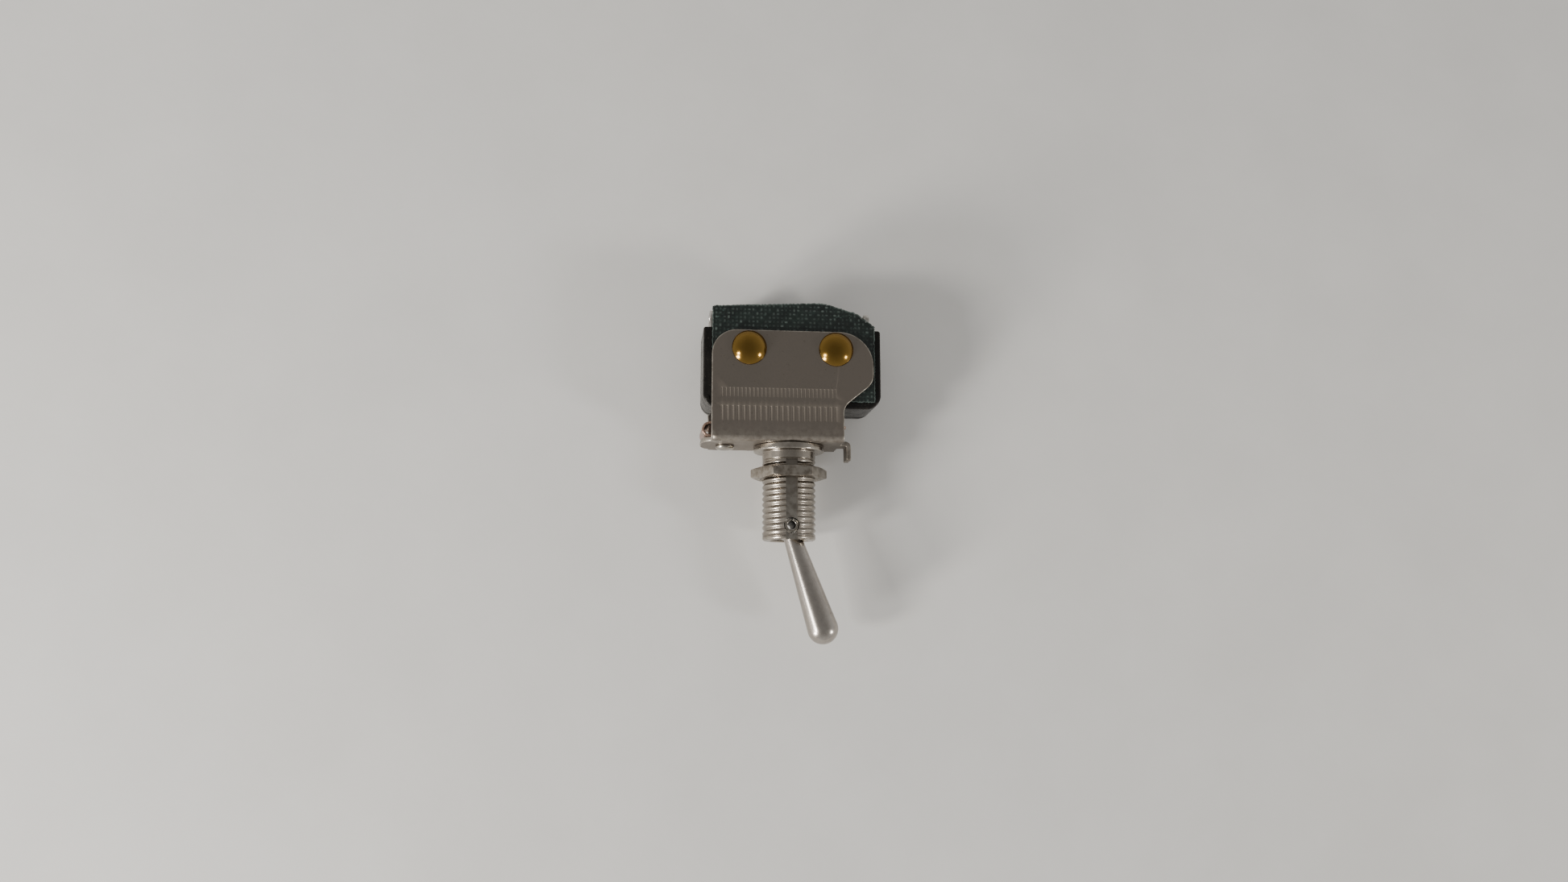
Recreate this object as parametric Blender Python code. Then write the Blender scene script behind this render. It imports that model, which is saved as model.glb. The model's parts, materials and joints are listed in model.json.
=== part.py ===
"""Panel-mount toggle switch: a bat lever in a threaded bushing works a riveted snap-action basic.

Sizes are in millimetres and meshes in metres. The bushing's axis is the line x = 0, z = 0 of the
switch's own axes, with y = 0 at the front of the face plate. The lever points to -Y, the terminals
to +Y, and the near plate faces +Z. One empty carries everything, so that the world's origin is
at the middle of the underside.
"""

import math

import bmesh
import bpy
from mathutils import Matrix, Vector

MM = 0.001
AIR = 0.05                  # gap between pieces that touch on the real switch
SNUG = 0.03                 # gap under rivet heads and flanges
ROUND = 32                  # sides of a large round piece
SMALL_ROUND = 20            # sides of a small round piece
BEYOND = 2.0                # how far a cutter runs past what it cuts
EASE = 0.01                 # lets a trimming tool clear a face that it leaves alone

# basic switch
CASE_LEFT, CASE_RIGHT = -9.7, 9.85
CASE_TOP, CASE_BASE = 3.8, 12.65
CASE_HALF = 3.175
COVER_THICK = 1.05
CASE_WALL = 0.7
CASE_TOP_WALL = 0.8
CASE_BASE_WALL = 1.25
RIVET_X, RIVET_Y = 4.7625, 10.2
BOSS_R = 1.9
PLUNGER_X = 1.6
PLUNGER_R = 1.1
PLUNGER_TIP = 2.25
FOOT_R, FOOT_LOW = 1.6, 5.25
NOSE_R = 0.6

# snap blade and contacts
BLADE_THICK = 0.2
BLADE_Y = 6.0
BLADE_HINGE_X = -7.0
BLADE_TAIL, BLADE_END = 0.4, 7.9
BLADE_HALF = 1.5
CONTACT_X, CONTACT_R = 7.1, 0.8
CONTACT_TIP = 0.45          # from the blade's middle to either contact face
CONTACT_SHANK_R = 0.4
NC_FACE = 5.50
NO_FACE = 7.43
STRIP = 0.4                 # thickness of the fixed contacts' strips
STRIP_HALF = 1.0
NC_ARM, NO_ARM, COMMON_ARM = 4.70, 7.75, 6.15

# terminals
COMMON_X, NO_X, NC_X = -8.65, 0.0, 8.7
LUG_THICK, LUG_HALF = 0.55, 1.4
LUG_START, LUG_END = 12.75, 15.05
LUG_HOLE_R, LUG_HOLE_Y = 0.6, 14.1

# insulating sheets and bracket
SHEET_THICK = 0.25
SHEET_LOW, SHEET_END = 4.45, 15.6
SHEET_LEFT, SHEET_RIGHT = -8.8, 9.2
PLATE = 0.5
SHEET_INNER = CASE_HALF + AIR
PLATE_INNER = SHEET_INNER + SHEET_THICK + AIR
PLATE_OUTER = PLATE_INNER + PLATE
PLATE_LEFT, PLATE_END = -8.8, 12.2
BULGE_RIGHT, BULGE_LOW = 8.9, 6.6
WAIST_RIGHT, WAIST_Y = 5.6, 3.9
BEND_OUTER, BEND_INNER = 0.6, 0.1
TONGUE_LEFT = -9.8
TAB_OUTER, TAB_LENGTH, TAB_HALF = 6.8, 1.6, 1.1
TAB_ROOT, TAB_CORNER = 0.6, 0.1
PLATE_CORNER, BULGE_CORNER = 2.7, 3.75
BULGE_LOW_CORNER, WAIST_CORNER = 2.0, 1.6
TONGUE_FAR_CORNER, TONGUE_NEAR_CORNER = 2.6, 2.2

# bushing and nut
FLANGE_R, FLANGE_THICK = 3.9, 0.69
FLANGE_EDGE = 0.04
SEAT_R, SEAT_RISE = 3.75, 0.02  # raised rim that the panel lies on, clear of the nut's flats
SHANK_R, SWAGE_R = 2.25, 2.8
SWAGE_HIGH, SWAGE_CHAMFER = 0.4, 0.3
LIP_CHAMFER, BORE_CHAMFER = 0.22, 0.15
THREAD_R = 2.94
BUSHING_END = -10.45
BORE_R, BORE_FLOOR = 2.1, -3.0
GUIDE_R = 1.15
KEY_HALF, KEY_FLOOR, KEY_START = 0.65, 2.58, -1.75
NUT_BACK, NUT_FRONT = -2.48, -3.7
NUT_FLATS = 7.35
NUT_FACE_R = NUT_FLATS / 2 - 0.1
NUT_SLOPE = math.tan(math.radians(16))
NUT_BORE_CHAMFER = 0.25
NUT_BORE_R = THREAD_R + AIR

# lever, pin and push rod
PIVOT_Y = -8.93
PIN_R, PIN_BORE_R, PIN_SLIT = 0.74, 0.46, 0.25
PIN_HOLE_R = 0.85
LEVER_TILT = math.radians(18.5)
BALL_R, NECK_R = 1.6, 0.98
TIP_R, TIP_REACH = 1.7, 13.34
CAM_OFFSET, CAM_R = 0.75, 2.2
CAM_FOOT_R = 1.4
ROD_HEAD_R, ROD_HEAD_THICK, ROD_STEM_R = 2.05, 1.1, 1.1

# hairpin leaf
LEAF = 0.25
LEAF_LOW = PLATE + AIR
LEAF_BEND_X = -8.95
LEAF_BEND_R = 0.7
LEAF_ARM_Y = LEAF_LOW + LEAF / 2 + 2 * LEAF_BEND_R
LEAF_HALF, LEAF_TIP_HALF = 2.8, 1.6
LEAF_FOOT_X, LEAF_TIP_X = -5.0, 6.3
LEAF_RIVET_X, LEAF_RIVET_R = -7.1, 0.6

# rivets
RIVET_R, RIVET_HOLE_R = 1.1, 1.15
DOME_R, DOME_HIGH = 1.9, 0.9
TAIL_R, TAIL_HIGH = 1.75, 0.55
TAIL_BORE_R, TAIL_BORE = 0.6, 1.4

# the world's origin, in the switch's own axes
LEVER_TIP_Y = PIVOT_Y - (TIP_REACH - TIP_R) * math.cos(LEVER_TILT) - TIP_R
ORIGIN = (
    (TONGUE_LEFT + CASE_RIGHT) / 2,
    (LEVER_TIP_Y + SHEET_END) / 2,
    -(PLATE_OUTER + SNUG + TAIL_HIGH),
)


def material(name, colour, roughness, metallic):
    made = bpy.data.materials.new(name)
    made.use_nodes = True
    shader = made.node_tree.nodes["Principled BSDF"]
    shader.inputs["Base Color"].default_value = (*colour, 1.0)
    shader.inputs["Roughness"].default_value = roughness
    shader.inputs["Metallic"].default_value = metallic
    return made


def make_object(name, mesh, parent, at=(0, 0, 0), turn=0.0):
    """Put a mesh on an object that hangs from a parent, at a place in millimetres."""
    bmesh.ops.recalc_face_normals(mesh, faces=mesh.faces)
    data = bpy.data.meshes.new(name)
    mesh.to_mesh(data)
    mesh.free()
    data.shade_smooth()
    data.set_sharp_from_angle(angle=math.radians(30))
    made = bpy.data.objects.new(name, data)
    made.parent = parent
    made.location = Vector(at) * MM
    made.rotation_euler = (0, 0, turn)
    bpy.context.collection.objects.link(made)
    return made


def rounded(corners, steps=6):
    """Outline through (u, v, radius) corners, each radius turned into an arc."""
    points = []
    for index, (u, v, radius) in enumerate(corners):
        corner = Vector((u, v))
        if radius == 0:
            points.append(corner)
            continue
        back = (Vector(corners[index - 1][:2]) - corner).normalized()
        ahead = (Vector(corners[(index + 1) % len(corners)][:2]) - corner).normalized()
        half = back.angle(ahead) / 2
        centre = corner + (back + ahead).normalized() * radius / math.sin(half)
        first = corner + back * radius / math.tan(half) - centre
        last = corner + ahead * radius / math.tan(half) - centre
        start = math.atan2(first.y, first.x)
        sweep = math.atan2(last.y, last.x) - start
        sweep = (sweep + math.pi) % (2 * math.pi) - math.pi
        for step in range(steps + 1):
            angle = start + sweep * step / steps
            points.append(centre + radius * Vector((math.cos(angle), math.sin(angle))))
    return points


def arc(centre, radius, start, end, steps):
    """Points on an arc, with its angles in degrees."""
    angles = [math.radians(start + (end - start) * k / steps) for k in range(steps + 1)]
    return [
        (centre[0] + radius * math.cos(a), centre[1] + radius * math.sin(a)) for a in angles
    ]


def band(line, thick):
    """Outline of a strip of even thickness along a line of points."""
    sides = ([], [])
    for index, point in enumerate(line):
        back = Vector(line[max(index - 1, 0)])
        ahead = Vector(line[min(index + 1, len(line) - 1)])
        across = (ahead - back).normalized().orthogonal() * thick / 2
        sides[0].append(Vector(point) + across)
        sides[1].append(Vector(point) - across)
    return sides[0] + sides[1][::-1]


def prism(outline, low, high, axis="Z"):
    """Solid with an outline in (x, y), (x, z) or (y, z), between two heights along the axis."""
    place = {
        "Z": lambda u, v, w: (u, v, w),
        "Y": lambda u, v, w: (u, w, v),
        "X": lambda u, v, w: (w, u, v),
    }[axis]
    mesh = bmesh.new()
    rings = [
        [mesh.verts.new(Vector(place(u, v, w)) * MM) for u, v in outline] for w in (low, high)
    ]
    for ring in rings:
        mesh.faces.new(ring)
    count = len(outline)
    for k in range(count):
        after = (k + 1) % count
        mesh.faces.new((rings[0][k], rings[0][after], rings[1][after], rings[1][k]))
    return mesh


def box(low, high):
    corners = [(low[0], low[1]), (high[0], low[1]), (high[0], high[1]), (low[0], high[1])]
    return prism(corners, low[2], high[2])


def turned(profile, axis, sides=ROUND, hollow=False):
    """Solid turned round the axis from (along, radius) points; hollow closes the profile's loop."""
    mesh = bmesh.new()
    rings = []
    for along, radius in profile:
        angles = [2 * math.pi * k / sides for k in range(sides)] if radius else [0.0]
        spots = [(radius * math.cos(a), radius * math.sin(a)) for a in angles]
        if axis == "Y":
            ring = [mesh.verts.new(Vector((p, along, q)) * MM) for p, q in spots]
        else:
            ring = [mesh.verts.new(Vector((p, q, along)) * MM) for p, q in spots]
        rings.append(ring)
    pairs = list(zip(rings, rings[1:]))
    if hollow:
        pairs.append((rings[-1], rings[0]))
    for one, two in pairs:
        for k in range(sides):
            after = (k + 1) % sides
            if len(one) == 1:
                mesh.faces.new((one[0], two[k], two[after]))
            elif len(two) == 1:
                mesh.faces.new((one[k], one[after], two[0]))
            else:
                mesh.faces.new((one[k], one[after], two[after], two[k]))
    return mesh


def rod(radius, low, high, axis, sides=SMALL_ROUND):
    return turned([(low, 0), (low, radius), (high, radius), (high, 0)], axis, sides)


def shape_with(target, tool, operation):
    """Cut, join or trim the target by a tool, which stays as a hidden guide."""
    tool.hide_render = True
    tool.display_type = "WIRE"
    step = target.modifiers.new(operation.lower(), "BOOLEAN")
    step.operation = operation
    step.object = tool
    step.solver = "EXACT"


def cut(target, name, mesh, at=(0, 0, 0)):
    shape_with(target, make_object(name, mesh, target.parent, at), "DIFFERENCE")


def join(target, name, mesh, at=(0, 0, 0)):
    shape_with(target, make_object(name, mesh, target.parent, at), "UNION")


def paint(target, look):
    target.data.materials.append(look)
    return target


def make_bracket(origin):
    far = PLATE_END + BEYOND
    channel = rounded(
        [
            (far, PLATE_OUTER, 0),
            (0, PLATE_OUTER, BEND_OUTER),
            (0, -PLATE_OUTER, BEND_OUTER),
            (far, -PLATE_OUTER, 0),
            (far, -PLATE_INNER, 0),
            (PLATE, -PLATE_INNER, BEND_INNER),
            (PLATE, PLATE_INNER, BEND_INNER),
            (far, PLATE_INNER, 0),
        ],
        4,
    )
    width = (TONGUE_LEFT - BEYOND, BULGE_RIGHT + BEYOND)
    bracket = make_object("bracket", prism(channel, *width, "X"), origin)
    sides = rounded(
        [
            (PLATE_LEFT, -BEYOND, 0),
            (PLATE_LEFT, PLATE_END, PLATE_CORNER),
            (BULGE_RIGHT, PLATE_END, BULGE_CORNER),
            (BULGE_RIGHT, BULGE_LOW, BULGE_LOW_CORNER),
            (WAIST_RIGHT, WAIST_Y, WAIST_CORNER),
            (WAIST_RIGHT, -BEYOND, 0),
        ]
    )
    envelope = make_object(
        "bracket_envelope", prism(sides, -PLATE_OUTER - BEYOND, PLATE_OUTER + BEYOND), origin
    )
    flat = PLATE_OUTER - BEND_OUTER
    tongue = rounded(
        [
            (TONGUE_LEFT, -flat, TONGUE_FAR_CORNER),
            (TONGUE_LEFT, flat, TONGUE_NEAR_CORNER),
            (PLATE_LEFT + 1, flat, 0),
            (PLATE_LEFT + 1, -flat, 0),
        ]
    )
    join(envelope, "tongue_envelope", prism(tongue, -1, PLATE + 1, "Y"))
    shape_with(bracket, envelope, "INTERSECT")
    tab_inner = TAB_OUTER - PLATE
    tab = rounded(
        [
            (WAIST_RIGHT - TAB_ROOT, 0, 0),
            (tab_inner, 0, BEND_INNER),
            (tab_inner, -TAB_LENGTH, TAB_CORNER),
            (TAB_OUTER, -TAB_LENGTH, TAB_CORNER),
            (TAB_OUTER, PLATE, BEND_OUTER),
            (WAIST_RIGHT - TAB_ROOT, PLATE, 0),
        ],
        4,
    )
    join(bracket, "locating_tab", prism(tab, -TAB_HALF, TAB_HALF))
    reach = PLATE_OUTER + BEYOND
    for side in (-1, 1):
        hole = rod(RIVET_HOLE_R, -reach, reach, "Z")
        cut(bracket, f"bracket_hole_{side}", hole, (side * RIVET_X, RIVET_Y, 0))
    cut(bracket, "bushing_hole", rod(SHANK_R + AIR, -1, PLATE + 1, "Y", ROUND))
    leaf_hole = rod(LEAF_RIVET_R + AIR, -1, PLATE + 1, "Y")
    cut(bracket, "leaf_hole", leaf_hole, (LEAF_RIVET_X, 0, 0))
    return bracket


def make_bushing(origin):
    swage_low = PLATE + AIR
    swage_top = swage_low + SWAGE_HIGH
    flange_front = -SNUG - FLANGE_THICK
    profile = [
        (swage_top, GUIDE_R),
        (swage_top, SWAGE_R - SWAGE_CHAMFER),
        (swage_low, SWAGE_R),
        (swage_low, SHANK_R),
        (-SNUG, SHANK_R),
        (-SNUG, FLANGE_R - FLANGE_EDGE),
        (-SNUG - FLANGE_EDGE, FLANGE_R),
        (flange_front + FLANGE_EDGE, FLANGE_R),
        (flange_front, FLANGE_R - FLANGE_EDGE),
        (flange_front, SEAT_R),
        (flange_front + SEAT_RISE, SEAT_R - SEAT_RISE),
        (flange_front + SEAT_RISE, THREAD_R),
        (BUSHING_END + LIP_CHAMFER, THREAD_R),
        (BUSHING_END, THREAD_R - LIP_CHAMFER),
        (BUSHING_END, BORE_R + BORE_CHAMFER),
        (BUSHING_END + BORE_CHAMFER, BORE_R),
        (BORE_FLOOR, BORE_R),
        (BORE_FLOOR, GUIDE_R),
    ]
    bushing = make_object("bushing", turned(profile, "Y", hollow=True), origin)
    keyway = box(
        (-KEY_HALF, BUSHING_END - BEYOND, KEY_FLOOR), (KEY_HALF, KEY_START, KEY_FLOOR + BEYOND)
    )
    cut(bushing, "keyway", keyway)
    cut(bushing, "pin_bore", rod(PIN_HOLE_R, -5, 5, "Z"), (0, PIVOT_Y, 0))
    return bushing


def make_nut(origin):
    corner = NUT_FLATS / 2 / math.cos(math.pi / 6)
    hexagon = arc((0, 0), corner, 0, 300, 5)
    nut = make_object("hex_nut", prism(hexagon, NUT_FRONT, NUT_BACK, "Y"), origin)
    wide = corner + AIR
    drop = (wide - NUT_FACE_R) * NUT_SLOPE
    barrel = [
        (NUT_FRONT - EASE, 0),
        (NUT_FRONT - EASE, NUT_FACE_R),
        (NUT_FRONT + drop, wide),
        (NUT_BACK - drop, wide),
        (NUT_BACK + EASE, NUT_FACE_R),
        (NUT_BACK + EASE, 0),
    ]
    chamfer = make_object("nut_chamfer", turned(barrel, "Y"), origin)
    shape_with(nut, chamfer, "INTERSECT")
    flare = NUT_BORE_CHAMFER + BEYOND
    bore = [
        (NUT_FRONT - BEYOND, 0),
        (NUT_FRONT - BEYOND, NUT_BORE_R + flare),
        (NUT_FRONT + NUT_BORE_CHAMFER, NUT_BORE_R),
        (NUT_BACK - NUT_BORE_CHAMFER, NUT_BORE_R),
        (NUT_BACK + BEYOND, NUT_BORE_R + flare),
        (NUT_BACK + BEYOND, 0),
    ]
    cut(nut, "nut_bore", turned(bore, "Y"))
    return nut


def make_lever(pivot):
    """The lever stands at its hinge, tilted; its own -Y runs along it to the tip."""
    shoulder = math.sqrt(BALL_R**2 - NECK_R**2)
    crown = TIP_REACH - TIP_R
    tip = [
        (-crown - TIP_R * math.cos(a), TIP_R * math.sin(a))
        for a in (math.radians(90) * k / 7 for k in range(1, 8))
    ]
    flare = [
        (-crown + (crown - shoulder) * (1 - t), NECK_R + (TIP_R - NECK_R) * t)
        for t in (k / 7 for k in range(6, 0, -1))
    ]
    first = -math.asin(shoulder / BALL_R)
    ball = [
        (BALL_R * math.sin(a), BALL_R * math.cos(a))
        for a in (first + (math.pi / 2 - first) * k / 8 for k in range(8))
    ]
    profile = [(-TIP_REACH, 0)] + tip + flare + ball + [(BALL_R, 0)]
    lever = make_object("lever", turned(profile, "Y", 28), pivot, turn=LEVER_TILT)
    edge = CAM_FOOT_R + 0.4
    end = math.degrees(math.acos((CAM_OFFSET - edge) / CAM_R))
    cam = arc((-CAM_OFFSET, 0), CAM_R, 0, end, 12) + [(-edge, -0.5), (CAM_R - CAM_OFFSET, -0.5)]
    foot = make_object("cam_foot", prism(cam, -edge, edge), pivot, turn=LEVER_TILT)
    waist = make_object("cam_waist", rod(CAM_FOOT_R, -0.4, 4, "Y", 28), pivot, turn=LEVER_TILT)
    shape_with(foot, waist, "INTERSECT")
    shape_with(lever, foot, "UNION")
    cut(lever, "lever_pin_hole", rod(PIN_HOLE_R, -4, 4, "Z"))
    return lever


def make_pin(origin):
    """Rolled pin: a tube with a slit along it."""
    gap = math.degrees(PIN_SLIT / 2 / PIN_R)
    outer = arc((0, 0), PIN_R, 90 + gap, 450 - gap, 20)
    gap = math.degrees(PIN_SLIT / 2 / PIN_BORE_R)
    inner = arc((0, 0), PIN_BORE_R, 450 - gap, 90 + gap, 14)
    half = KEY_FLOOR - SNUG
    return make_object("pivot_pin", prism(outer + inner, -half, half), origin, (0, PIVOT_Y, 0))


def make_push_rod(origin):
    lift = CAM_OFFSET * math.sin(LEVER_TILT)
    head = PIVOT_Y + CAM_R - lift + AIR
    tip = LEAF_ARM_Y - LEAF / 2 - AIR
    profile = [
        (head, 0),
        (head, ROD_HEAD_R - 0.15),
        (head + 0.15, ROD_HEAD_R),
        (head + ROD_HEAD_THICK, ROD_HEAD_R),
        (head + ROD_HEAD_THICK, ROD_STEM_R),
        (tip - 0.5, ROD_STEM_R),
        (tip - 0.15, ROD_STEM_R * 0.7),
        (tip, 0),
    ]
    return make_object("push_rod", turned(profile, "Y", 24), origin)


def make_rivet(name, side, origin):
    """Dome head above the near plate, and a rolled tubular tail below the far one."""
    base = PLATE_OUTER + SNUG
    curve = (DOME_R**2 + DOME_HIGH**2) / (2 * DOME_HIGH)
    spread = math.asin(DOME_R / curve)
    dome = [
        (base + DOME_HIGH - curve + curve * math.cos(spread * k / 5), curve * math.sin(spread * k / 5))
        for k in range(1, 6)
    ]
    profile = [(base + DOME_HIGH, 0)] + dome
    profile += [
        (base, RIVET_R),
        (-base, RIVET_R),
        (-base, TAIL_R),
        (-base - 0.25, TAIL_R),
        (-base - TAIL_HIGH, TAIL_R - 0.45),
        (-base - TAIL_HIGH, TAIL_BORE_R + 0.2),
        (-base - TAIL_HIGH + 0.3, TAIL_BORE_R),
        (-base - TAIL_HIGH + TAIL_BORE, TAIL_BORE_R),
        (-base - TAIL_HIGH + TAIL_BORE + 0.3, 0),
    ]
    return make_object(name, turned(profile, "Z", 24), origin, (side * RIVET_X, RIVET_Y, 0))


def make_insulator(name, side, origin):
    outline = rounded(
        [
            (SHEET_LEFT, SHEET_LOW, 0.3),
            (SHEET_LEFT, 15.0, 0.3),
            (3.4, SHEET_END, 1.5),
            (7.1, 14.55, 1.5),
            (SHEET_RIGHT, 13.05, 0.3),
            (SHEET_RIGHT, SHEET_LOW, 0.3),
        ],
        4,
    )
    heights = sorted((side * SHEET_INNER, side * (SHEET_INNER + SHEET_THICK)))
    sheet = make_object(name, prism(outline, *heights), origin)
    for place in (-1, 1):
        hole = rod(RIVET_HOLE_R, heights[0] - 1, heights[1] + 1, "Z")
        cut(sheet, f"{name}_hole_{place}", hole, (place * RIVET_X, RIVET_Y, 0))
    return sheet


def case_outline():
    return rounded(
        [
            (CASE_LEFT, CASE_TOP, 1.4),
            (CASE_RIGHT, CASE_TOP, 1.6),
            (CASE_RIGHT, CASE_BASE, 0.3),
            (CASE_LEFT, CASE_BASE, 0.3),
        ]
    )


def make_case(origin):
    rim = COVER_THICK + AIR - CASE_HALF
    case = make_object("switch_case", prism(case_outline(), rim, CASE_HALF), origin)
    cavity = box(
        (CASE_LEFT + CASE_WALL, CASE_TOP + CASE_TOP_WALL, rim - 1),
        (CASE_RIGHT - CASE_WALL, CASE_BASE - CASE_BASE_WALL, CASE_HALF - COVER_THICK),
    )
    cut(case, "case_cavity", cavity)
    for side in (-1, 1):
        at = (side * RIVET_X, RIVET_Y, 0)
        boss = rod(BOSS_R, rim + 0.1, CASE_HALF - COVER_THICK + 0.4, "Z", 24)
        join(case, f"boss_{side}", boss, at)
        cut(case, f"case_hole_{side}", rod(RIVET_HOLE_R, -5, 5, "Z"), at)
    for name, x in (("common", COMMON_X), ("no", NO_X), ("nc", NC_X)):
        wide = STRIP / 2 + AIR
        deep = STRIP_HALF + AIR
        slot = box(
            (x - wide, CASE_BASE - CASE_BASE_WALL - 0.3, -deep), (x + wide, CASE_BASE + 1, deep)
        )
        cut(case, f"slot_{name}", slot)
    hole = rod(PLUNGER_R + AIR, CASE_TOP - 1, CASE_TOP + CASE_TOP_WALL + 0.3, "Y")
    cut(case, "plunger_hole", hole, (PLUNGER_X, 0, 0))
    return case


def make_cover(origin):
    cover = make_object(
        "switch_cover", prism(case_outline(), -CASE_HALF, COVER_THICK - CASE_HALF), origin
    )
    for side in (-1, 1):
        hole = rod(RIVET_HOLE_R, -5, 0, "Z")
        cut(cover, f"cover_hole_{side}", hole, (side * RIVET_X, RIVET_Y, 0))
    return cover


def make_plunger(origin):
    foot_top = CASE_TOP + CASE_TOP_WALL + AIR
    nose = BLADE_Y - BLADE_THICK / 2 - AIR
    profile = [
        (PLUNGER_TIP, 0),
        (PLUNGER_TIP + 0.1, PLUNGER_R * 0.6),
        (PLUNGER_TIP + 0.45, PLUNGER_R),
        (foot_top, PLUNGER_R),
        (foot_top, FOOT_R),
        (FOOT_LOW, FOOT_R),
        (FOOT_LOW, NOSE_R),
        (nose - 0.15, NOSE_R),
        (nose, NOSE_R * 0.5),
        (nose, 0),
    ]
    return make_object("plunger", turned(profile, "Y", SMALL_ROUND), origin, (PLUNGER_X, 0, 0))


def make_blade(origin):
    """Snap blade, with its origin at the edge it rocks on."""
    tail = BLADE_HINGE_X - BLADE_TAIL
    outline = rounded(
        [
            (tail - BLADE_HINGE_X, -BLADE_HALF, 0.2),
            (BLADE_END - BLADE_HINGE_X, -BLADE_HALF, 0.8),
            (BLADE_END - BLADE_HINGE_X, BLADE_HALF, 0.8),
            (tail - BLADE_HINGE_X, BLADE_HALF, 0.2),
        ],
        4,
    )
    thin = BLADE_THICK / 2
    at = (BLADE_HINGE_X, BLADE_Y, 0)
    blade = make_object("snap_blade", prism(outline, -thin, thin, "Y"), origin, at)
    for side in (-1, 1):
        low, high = sorted((side * 0.4, side * 0.9))
        window = box((1.5, -1, low), (12.0, 1, high))
        cut(blade, f"blade_window_{side}", window, at)
    hole = rod(CONTACT_SHANK_R + AIR, -1, 1, "Y")
    cut(blade, "blade_hole", hole, (CONTACT_X, BLADE_Y, 0))
    return blade


def make_moving_contact(origin):
    """Double contact clinched through the blade, with the blade's origin."""
    seat = BLADE_THICK / 2 + SNUG
    profile = [
        (-CONTACT_TIP, 0),
        (-CONTACT_TIP, CONTACT_R - 0.15),
        (-CONTACT_TIP + 0.15, CONTACT_R),
        (-seat, CONTACT_R),
        (-seat, CONTACT_SHANK_R),
        (seat, CONTACT_SHANK_R),
        (seat, CONTACT_R),
        (CONTACT_TIP - 0.15, CONTACT_R),
        (CONTACT_TIP, CONTACT_R - 0.15),
        (CONTACT_TIP, 0),
    ]
    mesh = turned(profile, "Y", SMALL_ROUND)
    shift = Matrix.Translation(Vector((CONTACT_X - BLADE_HINGE_X, 0, 0)) * MM)
    bmesh.ops.transform(mesh, matrix=shift, verts=mesh.verts)
    return make_object("moving_contact", mesh, origin, (BLADE_HINGE_X, BLADE_Y, 0))


def make_fixed_contact(name, face, back, origin):
    rim = face + math.copysign(0.1, back - face)
    profile = [(face, 0), (face, CONTACT_R - 0.1), (rim, CONTACT_R), (back, CONTACT_R), (back, 0)]
    return make_object(name, turned(profile, "Y", SMALL_ROUND), origin, (CONTACT_X, 0, 0))


def make_terminal(name, x, arm_y, arm_end, origin):
    """Strip from the contact arm down through the case wall, and a thicker lug with a wire eye."""
    near = x - math.copysign(STRIP / 2, arm_end - x)
    far = x + math.copysign(STRIP / 2, arm_end - x)
    stem_end = LUG_START + 0.4
    strip = [
        (near, arm_y),
        (arm_end, arm_y),
        (arm_end, arm_y + STRIP),
        (far, arm_y + STRIP),
        (far, stem_end),
        (near, stem_end),
    ]
    terminal = make_object(name, prism(strip, -STRIP_HALF, STRIP_HALF), origin)
    lug = rounded(
        [
            (LUG_START, -LUG_HALF, 0.1),
            (LUG_END, -LUG_HALF, 0.7),
            (LUG_END, LUG_HALF, 0.7),
            (LUG_START, LUG_HALF, 0.1),
        ],
        4,
    )
    half = LUG_THICK / 2
    join(terminal, f"{name}_lug", prism(lug, x - half, x + half, "X"))
    eye = rounded(
        [
            (LUG_HOLE_Y - LUG_HOLE_R, -LUG_HOLE_R, LUG_HOLE_R * 0.99),
            (LUG_HOLE_Y + LUG_HOLE_R, -LUG_HOLE_R, LUG_HOLE_R * 0.99),
            (LUG_HOLE_Y + LUG_HOLE_R, LUG_HOLE_R, LUG_HOLE_R * 0.99),
            (LUG_HOLE_Y - LUG_HOLE_R, LUG_HOLE_R, LUG_HOLE_R * 0.99),
        ],
        4,
    )
    cut(terminal, f"{name}_eye", prism(eye, x - 1, x + 1, "X"))
    return terminal


def make_leaf_spring(origin):
    """Fixed limb of the hairpin and its bend, which ends where the free limb starts."""
    low = LEAF_LOW + LEAF / 2
    centre = (LEAF_BEND_X, low + LEAF_BEND_R)
    line = [(LEAF_FOOT_X, low)] + arc(centre, LEAF_BEND_R, 270, 90, 14)
    leaf = make_object("leaf_spring", prism(band(line, LEAF), -LEAF_HALF, LEAF_HALF), origin)
    hole = rod(LEAF_RIVET_R + AIR, LEAF_LOW - 0.4, LEAF_LOW + LEAF + 0.4, "Y")
    cut(leaf, "leaf_spring_hole", hole, (LEAF_RIVET_X, 0, 0))
    return leaf


def make_leaf_arm(origin):
    """Free limb of the hairpin, with its origin on the line where it flexes."""
    length = LEAF_TIP_X - LEAF_BEND_X
    outline = rounded(
        [
            (AIR, -LEAF_HALF, 0),
            (length * 0.55, -LEAF_HALF, 2.0),
            (length, -LEAF_TIP_HALF, 1.0),
            (length, LEAF_TIP_HALF, 1.0),
            (length * 0.55, LEAF_HALF, 2.0),
            (AIR, LEAF_HALF, 0),
        ],
        4,
    )
    mesh = prism(outline, -LEAF / 2, LEAF / 2, "Y")
    return make_object("leaf_arm", mesh, origin, (LEAF_BEND_X, LEAF_ARM_Y, 0))


def make_leaf_rivet(origin):
    inner = LEAF_LOW + LEAF + SNUG
    profile = [
        (-SNUG - 0.42, 0),
        (-SNUG - 0.36, 0.5),
        (-SNUG - 0.2, 0.88),
        (-SNUG, 1.05),
        (-SNUG, LEAF_RIVET_R),
        (inner, LEAF_RIVET_R),
        (inner, 1.0),
        (inner + 0.3, 0.85),
        (inner + 0.3, 0),
    ]
    return make_object("leaf_rivet", turned(profile, "Y", SMALL_ROUND), origin, (LEAF_RIVET_X, 0, 0))


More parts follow.
